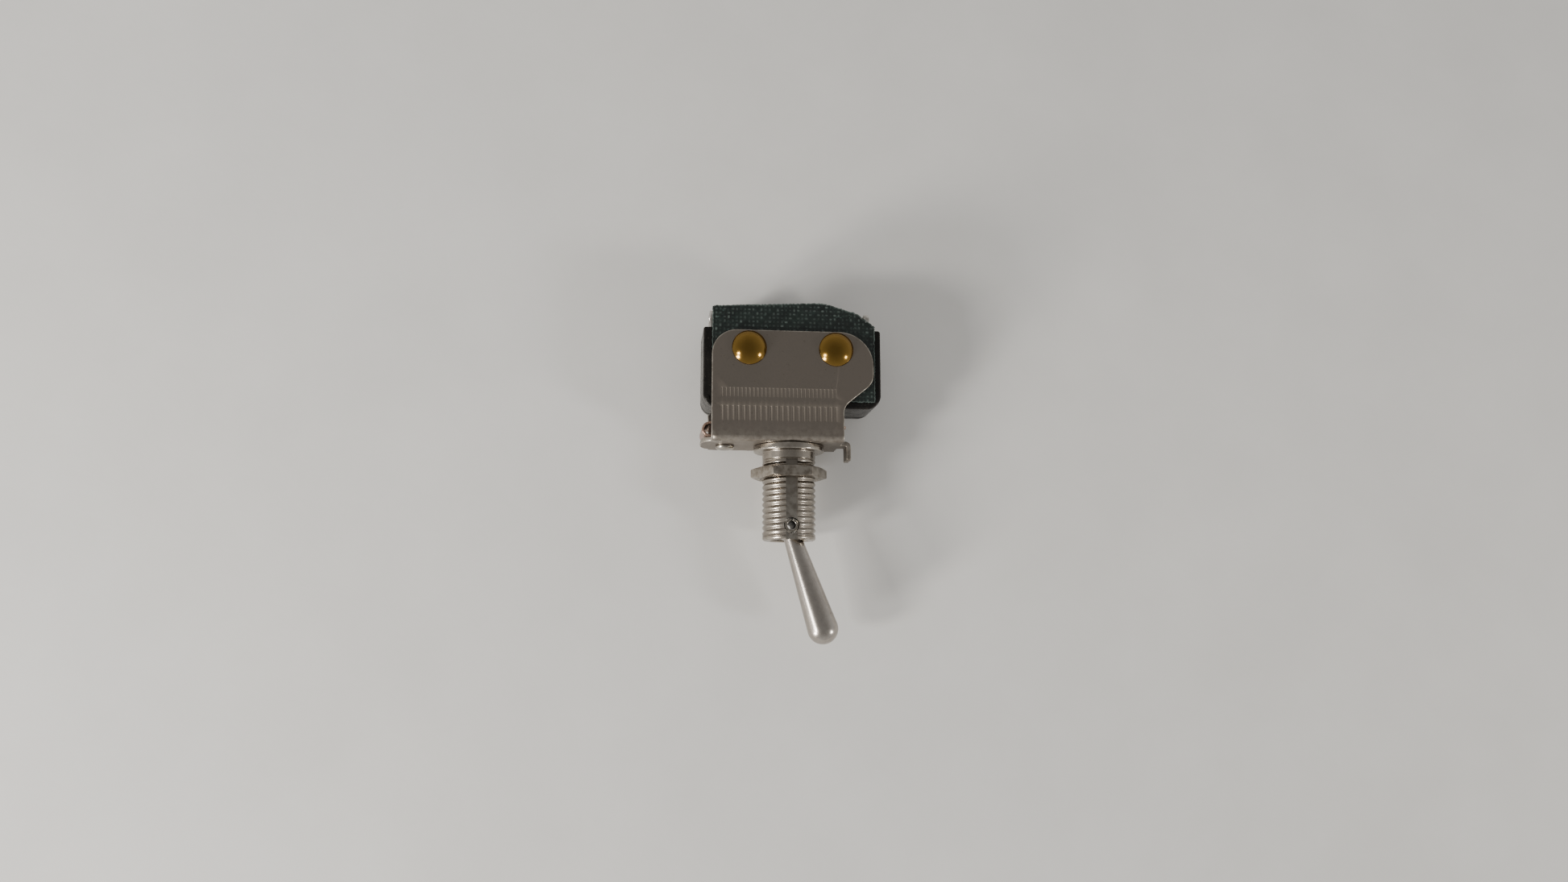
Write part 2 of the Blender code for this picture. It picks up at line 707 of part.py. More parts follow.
def make_empty(name, at, parent=None):
    made = bpy.data.objects.new(name, None)
    made.empty_display_size = 3 * MM
    made.parent = parent
    made.location = Vector(at) * MM
    bpy.context.collection.objects.link(made)
    return made


def main():
    for old in list(bpy.data.objects):
        bpy.data.objects.remove(old, do_unlink=True)

    nickel = (0.62, 0.59, 0.54)
    brass = (0.72, 0.52, 0.2)
    silver = (0.82, 0.82, 0.8)
    spring = (0.7, 0.5, 0.36)
    phenolic = (0.03, 0.04, 0.035)

    origin = make_empty("switch_axis", [-value for value in ORIGIN])
    pivot = make_empty("lever_pivot", (0, PIVOT_Y, 0), origin)

    paint(make_bracket(origin), material("bracket_nickel", nickel, 0.42, 1.0))
    paint(make_bushing(origin), material("bushing_nickel", nickel, 0.3, 1.0))
    paint(make_nut(origin), material("nut_nickel", nickel, 0.35, 1.0))
    paint(make_lever(pivot), material("lever_chrome", silver, 0.2, 1.0))
    paint(make_pin(origin), material("pin_steel", (0.45, 0.44, 0.42), 0.35, 1.0))
    paint(make_push_rod(origin), material("rod_nylon", (0.75, 0.73, 0.66), 0.5, 0.0))
    paint(make_rivet("rivet_left", -1, origin), material("rivet_left_brass", brass, 0.2, 1.0))
    paint(make_rivet("rivet_right", 1, origin), material("rivet_right_brass", brass, 0.2, 1.0))
    paint(make_insulator("insulator_near", 1, origin), material("sheet_near", phenolic, 0.6, 0.0))
    paint(make_insulator("insulator_far", -1, origin), material("sheet_far", phenolic, 0.6, 0.0))
    paint(make_case(origin), material("case_phenolic", phenolic, 0.4, 0.0))
    paint(make_cover(origin), material("cover_phenolic", phenolic, 0.4, 0.0))
    paint(make_plunger(origin), material("plunger_nylon", (0.35, 0.02, 0.02), 0.4, 0.0))
    paint(make_blade(origin), material("blade_copper", spring, 0.3, 1.0))
    paint(make_moving_contact(origin), material("moving_silver", silver, 0.3, 1.0))
    nc_back = NC_ARM + STRIP + SNUG
    paint(
        make_fixed_contact("nc_contact", NC_FACE, nc_back, origin),
        material("nc_silver", silver, 0.3, 1.0),
    )
    no_back = NO_ARM - SNUG
    paint(
        make_fixed_contact("no_contact", NO_FACE, no_back, origin),
        material("no_silver", silver, 0.3, 1.0),
    )
    terminals = (
        ("common_terminal", COMMON_X, COMMON_ARM, BLADE_HINGE_X + 0.1),
        ("no_terminal", NO_X, NO_ARM, BLADE_END),
        ("nc_terminal", NC_X, NC_ARM, CONTACT_X - CONTACT_R),
    )
    for name, x, arm_y, arm_end in terminals:
        terminal = make_terminal(name, x, arm_y, arm_end, origin)
        paint(terminal, material(f"{name}_tin", silver, 0.35, 1.0))
    paint(make_leaf_spring(origin), material("leaf_copper", spring, 0.3, 1.0))
    paint(make_leaf_arm(origin), material("leaf_arm_copper", spring, 0.3, 1.0))
    paint(make_leaf_rivet(origin), material("leaf_rivet_steel", nickel, 0.3, 1.0))


main()
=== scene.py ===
"""Looks of the panel-mount toggle switch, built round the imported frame.

Shapes are drawn in millimetres on the switch's own axes: the bushing's axis is x = 0, z = 0, the
face plate's front is y = 0, the lever points to -Y and the near plate faces +Z.
"""

import json
import math

import bmesh
import bpy
import numpy as np
from mathutils import Matrix, Vector
from mathutils.geometry import delaunay_2d_cdt


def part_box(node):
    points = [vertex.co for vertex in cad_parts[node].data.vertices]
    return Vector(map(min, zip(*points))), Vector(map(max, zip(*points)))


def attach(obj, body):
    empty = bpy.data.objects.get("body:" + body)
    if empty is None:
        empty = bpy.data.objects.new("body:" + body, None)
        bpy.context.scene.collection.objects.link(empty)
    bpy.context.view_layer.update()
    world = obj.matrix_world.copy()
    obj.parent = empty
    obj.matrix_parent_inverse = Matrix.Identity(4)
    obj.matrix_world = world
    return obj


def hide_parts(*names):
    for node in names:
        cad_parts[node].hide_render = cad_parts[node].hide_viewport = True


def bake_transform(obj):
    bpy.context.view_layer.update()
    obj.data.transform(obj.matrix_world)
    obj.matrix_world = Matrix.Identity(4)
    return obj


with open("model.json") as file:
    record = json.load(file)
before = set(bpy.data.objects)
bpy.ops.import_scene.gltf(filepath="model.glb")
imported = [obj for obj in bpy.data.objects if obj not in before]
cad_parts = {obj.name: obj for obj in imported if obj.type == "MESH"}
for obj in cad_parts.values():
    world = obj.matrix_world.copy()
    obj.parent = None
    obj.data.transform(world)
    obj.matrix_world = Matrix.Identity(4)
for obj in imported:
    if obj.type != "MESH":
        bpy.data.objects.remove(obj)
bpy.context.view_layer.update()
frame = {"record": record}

MM = 0.001
JOINTS = {joint["name"]: joint for joint in frame["record"]["behaviour"]["joints"]}


def node_box(name):
    """Corners of a CAD node in millimetres on the switch's own axes."""
    return [(Vector(corner) - ORIGIN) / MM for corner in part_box(name)]


TAB_END = -1.6
FULL_WEAR = 0.5  # an edge that turns by this many radians is worn bright
tilt_at = JOINTS["lever_tilt"]["pos_m"]
ORIGIN = Vector((tilt_at[0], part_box("bracket")[0][1] - TAB_END * MM, tilt_at[2]))
PIVOT_Y = (tilt_at[1] - ORIGIN.y) / MM
TILT = math.radians(JOINTS["lever_tilt"]["range_deg"][1] / 2)


# ---------------------------------------------------------------- outlines


def spaced(start, end, parts):
    """Evenly spaced values from start to end, parts + 1 of them."""
    return [start + (end - start) * k / parts for k in range(parts + 1)]


def flat(u, v, w):
    """Leave a plate in its own plane."""
    return (u, v, w)


def rounded(corners, steps=6, closed=True):
    """Points through (u, v, radius) corners, with each radius drawn as an arc."""
    points = []
    last = len(corners) - 1
    for index, (u, v, radius) in enumerate(corners):
        corner = Vector((u, v))
        if radius == 0 or (not closed and index in (0, last)):
            points.append(corner)
            continue
        back = (Vector(corners[index - 1][:2]) - corner).normalized()
        ahead = (Vector(corners[(index + 1) % len(corners)][:2]) - corner).normalized()
        half = back.angle(ahead) / 2
        centre = corner + (back + ahead).normalized() * radius / math.sin(half)
        first = corner + back * radius / math.tan(half) - centre
        end = corner + ahead * radius / math.tan(half) - centre
        start = math.atan2(first.y, first.x)
        sweep = math.atan2(end.y, end.x) - start
        sweep = (sweep + math.pi) % (2 * math.pi) - math.pi
        for step in range(steps + 1):
            angle = start + sweep * step / steps
            points.append(centre + radius * Vector((math.cos(angle), math.sin(angle))))
    return points


def circle(centre, radius, count=40, clockwise=False):
    """Points of a circle; a hole in a plate runs clockwise."""
    sign = -1 if clockwise else 1
    return [
        Vector(
            (
                centre[0] + radius * math.cos(sign * 2 * math.pi * k / count),
                centre[1] + radius * math.sin(sign * 2 * math.pi * k / count),
            )
        )
        for k in range(count)
    ]


def densified(loop, step):
    """The loop with points added so that no side is longer than step(point)."""
    points = []
    for index, point in enumerate(loop):
        after = loop[(index + 1) % len(loop)]
        length = (after - point).length
        parts = max(1, math.ceil(length / step((point + after) / 2)))
        points += [point.lerp(after, k / parts) for k in range(parts)]
    return points


def mitres(loop):
    """Direction into the material at each point, long enough to move both sides by 1."""
    count = len(loop)
    sides = [(loop[(k + 1) % count] - loop[k]).normalized() for k in range(count)]
    inward = [Vector((-side.y, side.x)) for side in sides]
    result = []
    for k in range(count):
        both = inward[k - 1] + inward[k]
        result.append(both / max(0.3, both.length_squared / 2))
    return result


def inside(points, loops):
    """Which points lie inside the outer loop and outside the holes."""
    x, y = points[:, 0], points[:, 1]
    odd = np.zeros(len(points), bool)
    for loop in loops:
        for one, two in zip(loop, loop[1:] + loop[:1]):
            if one[1] == two[1]:
                continue
            spans = (one[1] > y) != (two[1] > y)
            odd ^= spans & (x < (two[0] - one[0]) * (y - one[1]) / (two[1] - one[1]) + one[0])
    return odd


# ---------------------------------------------------------------- meshes


class Shape:
    """Vertices in millimetres and faces, gathered before they become a mesh."""

    def __init__(self):
        self.points = []
        self.faces = []

    def add(self, points):
        start = len(self.points)
        self.points += [Vector(point) for point in points]
        return list(range(start, len(self.points)))

    def bridge(self, rings, closed=False):
        """Quads between rings of the same length, each ring a closed one."""
        pairs = list(zip(rings, rings[1:])) + ([(rings[-1], rings[0])] if closed else [])
        for one, two in pairs:
            count = len(one)
            for k in range(count):
                after = (k + 1) % count
                self.faces.append((one[k], one[after], two[after], two[k]))

    def cap(self, loops, rings, warp, level, spots=(), ties=(), flip=False):
        """Fill the cap that loops bound at w = level, through (u, v, w) spots joined by ties."""
        places = [Vector(point[:2]) for loop in loops for point in loop]
        known = [index for ring in rings for index in ring]
        edges = []
        start = 0
        for loop in loops:
            count = len(loop)
            edges += [(start + k, start + (k + 1) % count) for k in range(count)]
            start += count
        places += [Vector(spot[:2]) for spot in spots]
        edges += [(start + a, start + b) for a, b in ties]
        out, _, faces, came, _, _ = delaunay_2d_cdt(places, edges, [], 1, 1e-7)
        index = []
        for at, sources in zip(out, came):
            border = [s for s in sources if s < start]
            if border:
                index.append(known[border[0]])
            else:
                depth = spots[sources[0] - start][2] if sources else level
                index += self.add([warp(at.x, at.y, depth)])
        centres = np.array(
            [[sum(out[v].x for v in f) / 3, sum(out[v].y for v in f) / 3] for f in faces]
        )
        keep = inside(centres, [[tuple(point[:2]) for point in loop] for loop in loops])
        for face, wanted in zip(faces, keep):
            if wanted:
                corners = [index[v] for v in face]
                self.faces.append(tuple(reversed(corners)) if flip else tuple(corners))

    def plate(self, loops, low, high, edge, warp=flat, top=((), ()), base=((), ()), steps=3):
        """Sheet between w = low and w = high with its edges softened by a radius of edge.

        The loops are the outline and the holes, warp places (u, v, w), and top and base hold the
        spots of each side, as (u, v, depth), and their ties.
        """
        turns = spaced(0, math.radians(90), steps)
        levels = [(edge * 2, high)]
        levels += [(edge * (1 - math.sin(a)), high - edge * (1 - math.cos(a))) for a in turns]
        levels += [(inset, low + high - w) for inset, w in reversed(levels)]
        ends = ([], [])
        caps = ([], [])
        for loop in loops:
            inward = mitres(loop)
            rings = []
            for inset, w in levels:
                moved = [point + normal * inset for point, normal in zip(loop, inward)]
                rings.append(self.add([warp(point.x, point.y, w) for point in moved]))
                if len(rings) in (1, len(levels)):
                    caps[len(rings) > 1].append(moved)
            self.bridge(rings[::-1])
            ends[0].append(rings[0])
            ends[1].append(rings[-1])
        raised = [(u, v, high - depth) for u, v, depth in top[0]]
        sunk = [(u, v, low + depth) for u, v, depth in base[0]]
        self.cap(caps[0], ends[0], warp, high, raised, top[1])
        self.cap(caps[1], ends[1], warp, low, sunk, base[1], flip=True)

    def lathe(self, profile, axis, sides=72, centre=(0, 0), closed=False):
        """Turn (along, radius) points round an axis, Y or Z, that passes through centre."""
        rings = []
        for along, radius in profile:
            if radius < 1e-6:
                rings.append(self.add([turned_point(axis, along, 0, 0, centre)]))
                continue
            turns = [2 * math.pi * k / sides for k in range(sides)]
            rings.append(self.add([turned_point(axis, along, radius, a, centre) for a in turns]))
        pairs = list(zip(rings, rings[1:])) + ([(rings[-1], rings[0])] if closed else [])
        for one, two in pairs:
            for k in range(sides):
                after = (k + 1) % sides
                if len(one) == 1:
                    self.faces.append((one[0], two[k], two[after]))
                elif len(two) == 1:
                    self.faces.append((one[k], one[after], two[0]))
                else:
                    self.faces.append((one[k], one[after], two[after], two[k]))

    def mesh(self, name):
        data = bpy.data.meshes.new(name)
        data.from_pydata([tuple(ORIGIN + point * MM) for point in self.points], [], self.faces)
        data.update()
        return data


def turned_point(axis, along, radius, angle, centre):
    """Point of a lathe piece at an angle round its axis."""
    p = centre[0] + radius * math.sin(angle)
    q = centre[1] + radius * math.cos(angle)
    return (p, along, q) if axis == "Y" else (p, q, along)


def place(name, data):
    """New object in the scene that shows the data."""
    made = bpy.data.objects.new(name, data)
    bpy.context.scene.collection.objects.link(made)
    return made


def to_object(shape, name):
    """Object of a shape, without loose points and with its faces outward."""
    made = place(name, shape.mesh(name))
    mesh = bmesh.new()
    mesh.from_mesh(made.data)
    loose = [vert for vert in mesh.verts if not vert.link_faces]
    bmesh.ops.delete(mesh, geom=loose, context="VERTS")
    bmesh.ops.recalc_face_normals(mesh, faces=mesh.faces)
    mesh.to_mesh(made.data)
    mesh.free()
    return made


def carve(made, tools, operation="DIFFERENCE"):
    """Cut an object by the tools, or join or intersect it with them, and remove the tools."""
    for number, tool in enumerate(tools):
        step = made.modifiers.new(f"tool_{number}", "BOOLEAN")
        step.operation = operation
        step.object = tool
        step.solver = "EXACT"
    graph = bpy.context.evaluated_depsgraph_get()
    shaped = bpy.data.meshes.new_from_object(made.evaluated_get(graph))
    made.modifiers.clear()
    made.data = shaped
    for tool in tools:
        bpy.data.objects.remove(tool)
    return made


def block(name, low, high):
    """Box between two corners."""
    (left, front, bottom), (right, back, top) = low, high
    sides = ((left, front), (right, front), (right, back), (left, back))
    shape = Shape()
    shape.plate([[Vector(corner) for corner in sides]], bottom, top, 0.01, steps=1)
    return to_object(shape, name)


def drill(name, axis, radius, low, high, centre=(0, 0), sides=48):
    """Cylinder from low to high along an axis through centre."""
    shape = Shape()
    shape.lathe([(low, 0), (low, radius), (high, radius), (high, 0)], axis, sides, centre)
    return to_object(shape, name)


def finish(made, look, body, slot, *nodes, angle=38, deep=None, plain=None):
    """Shade an object, store its wear and its painted shade, and tie it to the frame.

    Wear comes from how sharp the outer edges are, except where plain(point) is true, and
    deep(point) gives the depth that is painted as shade in bores and as a highlight on cloth
    crests, with the point in millimetres.
    """
    data = made.data
    mesh = bmesh.new()
    mesh.from_mesh(data)
    bmesh.ops.remove_doubles(mesh, verts=mesh.verts, dist=2e-7)
    bmesh.ops.dissolve_degenerate(mesh, edges=mesh.edges, dist=1e-7)
    mesh.normal_update()
    worn = mesh.verts.layers.float.new("worn")
    hidden = mesh.verts.layers.float.new("deep")
    for vert in mesh.verts:
        most = 0.0
        for edge in vert.link_edges:
            if len(edge.link_faces) == 2:
                most = max(most, edge.calc_face_angle_signed(0.0))
        point = (vert.co - ORIGIN) / MM
        if plain is None or not plain(point):
            vert[worn] = min(1.0, most / FULL_WEAR)
        # painted light: depth that the looks turn into painted shade in bores and a painted
        # highlight on cloth crests
        if deep is not None:
            vert[hidden] = deep(point)
    mesh.to_mesh(data)
    mesh.free()
    data.shade_smooth()
    data.set_sharp_from_angle(angle=math.radians(angle))
    data.materials.clear()
    data.materials.append(look)
    step = made.modifiers.new("weighted", "WEIGHTED_NORMAL")
    step.keep_sharp = True
    if body:
        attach(made, body)
    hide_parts(*nodes)
    return made


# ---------------------------------------------------------------- materials


class Nodes:
    """Shorthand for building one material's node tree."""

    def __init__(self, name):
        self.material = bpy.data.materials.new(name)
        self.material.use_nodes = True
        self.tree = self.material.node_tree
        self.shader = self.tree.nodes["Principled BSDF"]
        self.where = self.tree.nodes.new("ShaderNodeTexCoord").outputs["Object"]

    def node(self, kind, **values):
        """New node with its inputs linked or set, or else its properties set."""
        made = self.tree.nodes.new(kind)
        for key, value in values.items():
            if key in made.inputs:
                if isinstance(value, bpy.types.NodeSocket):
                    self.tree.links.new(value, made.inputs[key])
                else:
                    made.inputs[key].default_value = value
            else:
                setattr(made, key, value)
        return made

    def link(self, output, target):
        self.tree.links.new(output, target)

    def spread(self, scale, stretch=(1, 1, 1), shift=(0, 0, 0)):
        """Object coordinates, scaled and shifted."""
        made = self.node("ShaderNodeMapping", Vector=self.where)
        made.inputs["Scale"].default_value = [value * scale for value in stretch]
        made.inputs["Location"].default_value = shift
        return made.outputs["Vector"]

    def noise(self, scale, detail=3.0, rough=0.5, stretch=(1, 1, 1), shift=(0, 0, 0)):
        made = self.node("ShaderNodeTexNoise", Vector=self.spread(scale, stretch, shift))
        made.inputs["Scale"].default_value = 1.0
        made.inputs["Detail"].default_value = detail
        made.inputs["Roughness"].default_value = rough
        return made.outputs["Fac"]

    def remap(self, value, low, high, to_low=0.0, to_high=1.0):
        made = self.node("ShaderNodeMapRange", Value=value)
        made.inputs["From Min"].default_value = low
        made.inputs["From Max"].default_value = high
        made.inputs["To Min"].default_value = to_low
        made.inputs["To Max"].default_value = to_high
        return made.outputs["Result"]

    def maths(self, operation, one, two):
        made = self.tree.nodes.new("ShaderNodeMath")
        made.operation = operation
        for socket, value in zip(made.inputs, (one, two)):
            if isinstance(value, bpy.types.NodeSocket):
                self.link(value, socket)
            else:
                socket.default_value = value
        return made.outputs[0]

    def blend(self, factor, one, two):
        made = self.tree.nodes.new("ShaderNodeMix")
        made.data_type = "RGBA"
        sockets = (made.inputs[0], made.inputs[6], made.inputs[7])
        for socket, value in zip(sockets, (factor, one, two)):
            if isinstance(value, bpy.types.NodeSocket):
                self.link(value, socket)
            elif socket is sockets[0]:
                socket.default_value = value
            else:
                socket.default_value = (*value, 1.0)
        return made.outputs[2]

    def stored(self, name):
        made = self.tree.nodes.new("ShaderNodeAttribute")
        made.attribute_name = name
        return made.outputs["Fac"]

    def bump(self, height, strength, distance, below=None):
        made = self.node("ShaderNodeBump", Height=height, Strength=strength, Distance=distance)
        if below is not None:
            self.link(below, made.inputs["Normal"])
        return made.outputs["Normal"]


def metal(name, light, dark, rough, rubbed, grain=(1, 1, 1), lines=0.25, soil_and_shade=(0.05, 0.04, 0.03)):
    """Plated or bare metal: cloudy tone, grain lines, fine pits, soil, painted shade in bores and
    hollows, and edges rubbed bright.
    """
    n = Nodes(name)
    n.shader.inputs["Metallic"].default_value = 1.0
    cloud = n.remap(n.noise(260, 5, 0.6), 0.25, 0.75)
    colour = n.blend(cloud, dark, light)
    film = n.remap(n.noise(170, 5, 0.65, shift=(3, 1, 2)), 0.45, 0.75, 0.0, 0.16)
    colour = n.blend(film, colour, [0.75 * value for value in dark])
    spots = n.remap(n.noise(2600, 2, 0.5, shift=(7, 2, 5)), 0.68, 0.8, 0.0, 0.4)
    colour = n.blend(spots, colour, soil_and_shade)
    edge = n.maths("MULTIPLY", n.stored("worn"), n.remap(n.noise(1500, 3, 0.6), 0.35, 0.6))
    colour = n.blend(edge, colour, rubbed)
    # painted shade: the stored depth darkens bores and hollows toward a dark tint and makes them
    # rougher
    painted_shade = n.remap(n.stored("deep"), 0.0, 1.0, 0.0, 0.95)
    colour = n.blend(painted_shade, colour, [0.25 * value for value in soil_and_shade])
    n.link(colour, n.shader.inputs["Base Color"])
    streak = n.noise(5200, 2, 0.6, grain)
    base = n.remap(cloud, 0, 1, rough + 0.03, rough - 0.02)
    base = n.maths("ADD", base, n.remap(streak, 0.3, 0.7, -0.025, 0.025))
    base = n.maths("ADD", base, n.maths("MULTIPLY", spots, 0.25))
    base = n.maths("SUBTRACT", base, n.maths("MULTIPLY", edge, 0.08))
    base = n.maths("ADD", base, n.maths("MULTIPLY", painted_shade, 0.3))
    n.link(base, n.shader.inputs["Roughness"])
    fine = n.bump(streak, lines, 0.000012)
    fine = n.bump(n.noise(700, 3, 0.5, shift=(1, 5, 9)), 0.06, 0.00002, fine)
    n.link(fine, n.shader.inputs["Normal"])
    return n.material


def moulded(name, light, dark, rough, speck, speck_at=0.7, bump=0.3):
    """Moulded plastic or resin: filler specks, sink marks, skin texture, edges rubbed pale."""
    n = Nodes(name)
    n.shader.inputs["Specular IOR Level"].default_value = 0.22
    cloud = n.remap(n.noise(300, 4, 0.6), 0.35, 0.65)
    colour = n.blend(cloud, dark, light)
    specks = n.remap(n.noise(4200, 2, 0.6, shift=(2, 8, 4)), speck_at - 0.06, speck_at + 0.04)
    colour = n.blend(n.maths("MULTIPLY", specks, 0.6), colour, speck)
    edge = n.remap(n.noise(1300, 3, 0.6), 0.4, 0.65, 0.0, 0.55)
    edge = n.maths("MULTIPLY", n.stored("worn"), edge)
    colour = n.blend(edge, colour, speck)
    n.link(colour, n.shader.inputs["Base Color"])
    base = n.remap(n.noise(700, 4, 0.6, shift=(5, 5, 1)), 0.3, 0.7, rough - 0.08, rough + 0.1)
    n.link(base, n.shader.inputs["Roughness"])
    fine = n.bump(n.noise(6500, 3, 0.6), bump, 0.000012)
    fine = n.bump(n.noise(500, 2, 0.5), 0.3, 0.00004, fine)
    n.link(fine, n.shader.inputs["Normal"])
    return n.material


def woven(name):
    """Resin-filled cloth board: dark resin over two thread directions, with pale fibre flecks and a
    painted highlight on the raised thread crests.
    """
    n = Nodes(name)
    cloud = n.remap(n.noise(520, 4, 0.65), 0.35, 0.65)
    colour = n.blend(cloud, (0.003, 0.006, 0.005), (0.008, 0.015, 0.012))
    across = n.noise(3000, 2, 0.5, (0.45, 1, 1))
    along = n.noise(3000, 2, 0.5, (1, 0.45, 1), (4, 4, 4))
    thread = n.remap(n.maths("MAXIMUM", across, along), 0.56, 0.7)
    colour = n.blend(n.maths("MULTIPLY", thread, 0.4), colour, (0.02, 0.035, 0.031))
    pale = n.remap(n.noise(2300, 3, 0.7, shift=(9, 3, 6)), 0.66, 0.74)
    colour = n.blend(n.maths("MULTIPLY", pale, 0.6), colour, (0.10, 0.16, 0.14))
    # painted highlight: the raised thread crests are made paler
    raised = n.remap(n.stored("deep"), 0.0, 0.5, 1.0, 0.0)
    raised = n.maths("MULTIPLY", raised, n.remap(n.noise(900, 4, 0.7, shift=(6, 1, 3)), 0.3, 0.7))
    colour = n.blend(raised, colour, (0.13, 0.165, 0.15))
    n.link(colour, n.shader.inputs["Base Color"])
    n.link(n.remap(n.noise(1500, 3, 0.6), 0.3, 0.7, 0.26, 0.5), n.shader.inputs["Roughness"])
    fine = n.bump(n.maths("MAXIMUM", across, along), 0.6, 0.00004)
    n.link(n.bump(n.noise(5200, 3, 0.6), 0.4, 0.00002, fine), n.shader.inputs["Normal"])
    return n.material


# ---------------------------------------------------------------- bracket

PLATE = 0.5
BEND_OUTER = 0.6
bracket_low, bracket_high = node_box("bracket")
PLATE_OUTER, PLATE_TOP = bracket_high.z, bracket_high.y
PLATE_LEFT, BULGE_RIGHT, WAIST_RIGHT = -8.8, bracket_high.x, 5.6
FLAT = PLATE_OUTER - BEND_OUTER
BEND_MIDDLE = BEND_OUTER - PLATE / 2
BEND_LENGTH = BEND_MIDDLE * math.pi / 2
TAB_OUTER, TAB_HALF = 6.8, 1.1
TAB_BEND_X = TAB_OUTER - BEND_OUTER
TAB_DEVELOPED = TAB_BEND_X + BEND_LENGTH + (PLATE - BEND_OUTER) - TAB_END
RIVET_X, RIVET_Y = 4.7625, 10.2
RIVET_HOLE = 1.15
BUSHING_HOLE = 2.3
LEAF_RIVET_X, LEAF_RIVET_HOLE = -7.1, 0.65
STROKE_ROWS = (
    dict(count=30, left=-7.75, right=4.7, low=4.7, high=5.8, half=0.1, depth=0.05),
    dict(count=22, left=-7.75, right=4.7, low=2.1, high=3.85, half=0.12, depth=0.065),
)


def along(y):
    """Developed length from the face plate's middle to a height y on a side plate."""
    return FLAT + BEND_LENGTH + y - BEND_OUTER


def fold(u, v, w):
    """Fold the flat blank into the bracket; w is outward from the sheet's middle."""
    side = 1 if v >= 0 else -1
    run = abs(v)
    if u > TAB_BEND_X and run < TAB_HALF + 0.1:
        radius = BEND_MIDDLE - w
        if u < TAB_BEND_X + BEND_LENGTH:
            angle = (u - TAB_BEND_X) / BEND_MIDDLE
            x, y = TAB_BEND_X + radius * math.sin(angle), radius * math.cos(angle)
        else:
            x, y = TAB_BEND_X + radius, TAB_BEND_X + BEND_LENGTH - u
        return (x, y + PLATE - BEND_OUTER, v)
    if run <= FLAT:
        return (u, PLATE / 2 - w, v)
    if run <= FLAT + BEND_LENGTH:
        angle = (run - FLAT) / BEND_MIDDLE
        radius = BEND_MIDDLE + w
        return (u, BEND_OUTER - radius * math.cos(angle), side * (FLAT + radius * math.sin(angle)))
    return (u, BEND_OUTER + run - FLAT - BEND_LENGTH, side * (PLATE_OUTER - PLATE / 2 + w))


def arc(centre, radius, start, end, steps):
    """Corners without softening along an arc, with its angles in degrees."""
    angles = [math.radians(angle) for angle in spaced(start, end, steps)]
    return [(centre[0] + radius * math.cos(a), centre[1] + radius * math.sin(a), 0) for a in angles]


def rivet_holes(heights, count):
    """Outlines of both dome rivets' holes at each height."""
    return [circle((x, v), RIVET_HOLE, count, True) for v in heights for x in (-RIVET_X, RIVET_X)]


def plate_outline(top, sign):
    """Side plate's corners from the waist round to the left edge, in (x, developed length)."""
    corners = [
        (WAIST_RIGHT, along(3.9), 1.6),
        (BULGE_RIGHT, along(6.6), 2.0),
        (BULGE_RIGHT, along(top), 3.75),
        (PLATE_LEFT, along(top), 2.7),
    ]
    corners = [(u, sign * v, radius) for u, v, radius in corners]
    return corners if sign > 0 else corners[::-1]


def strokes(row):
    """Stamped row of plain equal strokes: points with depths, and the ties that bound them."""
    spots, ties = [], []
    low, high = along(row["low"]), along(row["high"])
    for x in spaced(row["left"], row["right"], row["count"] - 1):
        for half, depth in ((row["half"], 0.0), (row["half"] * 0.55, row["depth"] * 0.75)):
            start = len(spots)
            for v, turn in ((high - row["half"], 0), (low + row["half"], 180)):
                for a in range(0, 181, 30):
                    angle = math.radians(turn + a)
                    spots.append((x + half * math.cos(angle), v + half * math.sin(angle), depth))
            count = len(spots) - start
            ties += [(start + n, start + (n + 1) % count) for n in range(count)]
        parts = 6
        first = len(spots)
        for n in range(parts + 1):
            v = low + row["half"] + (high - low - 2 * row["half"]) * n / parts
            spots.append((x, v, row["depth"]))
        ties += [(first + n, first + n + 1) for n in range(parts)]
    return spots, ties


def make_bracket():
    """Folded sheet: the blank's outline and holes, with points along its bends and strokes."""
    tongue = arc((-7.6, 1.225), 2.2, 123.06, 180, 14) + arc((-7.2, -0.825), 2.6, 180, 232.0, 14)
    tongue = [(max(u, bracket_low.x), v, r) for u, v, r in tongue]
    corners = [(TAB_DEVELOPED, -TAB_HALF, 0.25), (TAB_DEVELOPED, TAB_HALF, 0.25)]
    corners += [(WAIST_RIGHT, TAB_HALF, 0.2)]
    corners += plate_outline(PLATE_TOP, 1) + tongue + plate_outline(PLATE_TOP, -1)
    corners += [(WAIST_RIGHT, -TAB_HALF, 0.2)]

    def step(point):
        bend = FLAT - 0.1 < abs(point.y) < FLAT + BEND_LENGTH + 0.1
        return 0.07 if bend or (point.x > TAB_BEND_X - 0.1 and abs(point.y) < 2) else 0.5

    outline = densified(rounded(corners, 14), step)
    holes = [circle((0, 0), BUSHING_HOLE, 48, True)]
    holes.append(circle((LEAF_RIVET_X, 0), LEAF_RIVET_HOLE, 32, True))
    holes += rivet_holes((-along(RIVET_Y), along(RIVET_Y)), 40)
    spots = []
    rows, columns = 8, 28
    for row in range(rows + 1):
        v = FLAT + BEND_LENGTH * row / rows
        for k in range(columns + 1):
            u = PLATE_LEFT + 0.2 + (WAIST_RIGHT - PLATE_LEFT - 0.4) * k / columns
            spots += [(u, v, 0.0), (u, -v, 0.0)]
        u = TAB_BEND_X + BEND_LENGTH * row / rows
        spots += [(u, v, 0.0) for v in (-0.9, -0.45, 0.0, 0.45, 0.9)]
    marked, ties = list(spots), []
    for row in STROKE_ROWS:
        more, tied = strokes(row)
        ties += [(a + len(marked), b + len(marked)) for a, b in tied]
        marked += more
    shape = Shape()
    shape.plate([outline] + holes, -PLATE / 2, PLATE / 2, 0.07, fold, (marked, ties), (spots, ()))
    return to_object(shape, "bracket_sheet")


# ---------------------------------------------------------------- bushing, nut, lever and pin

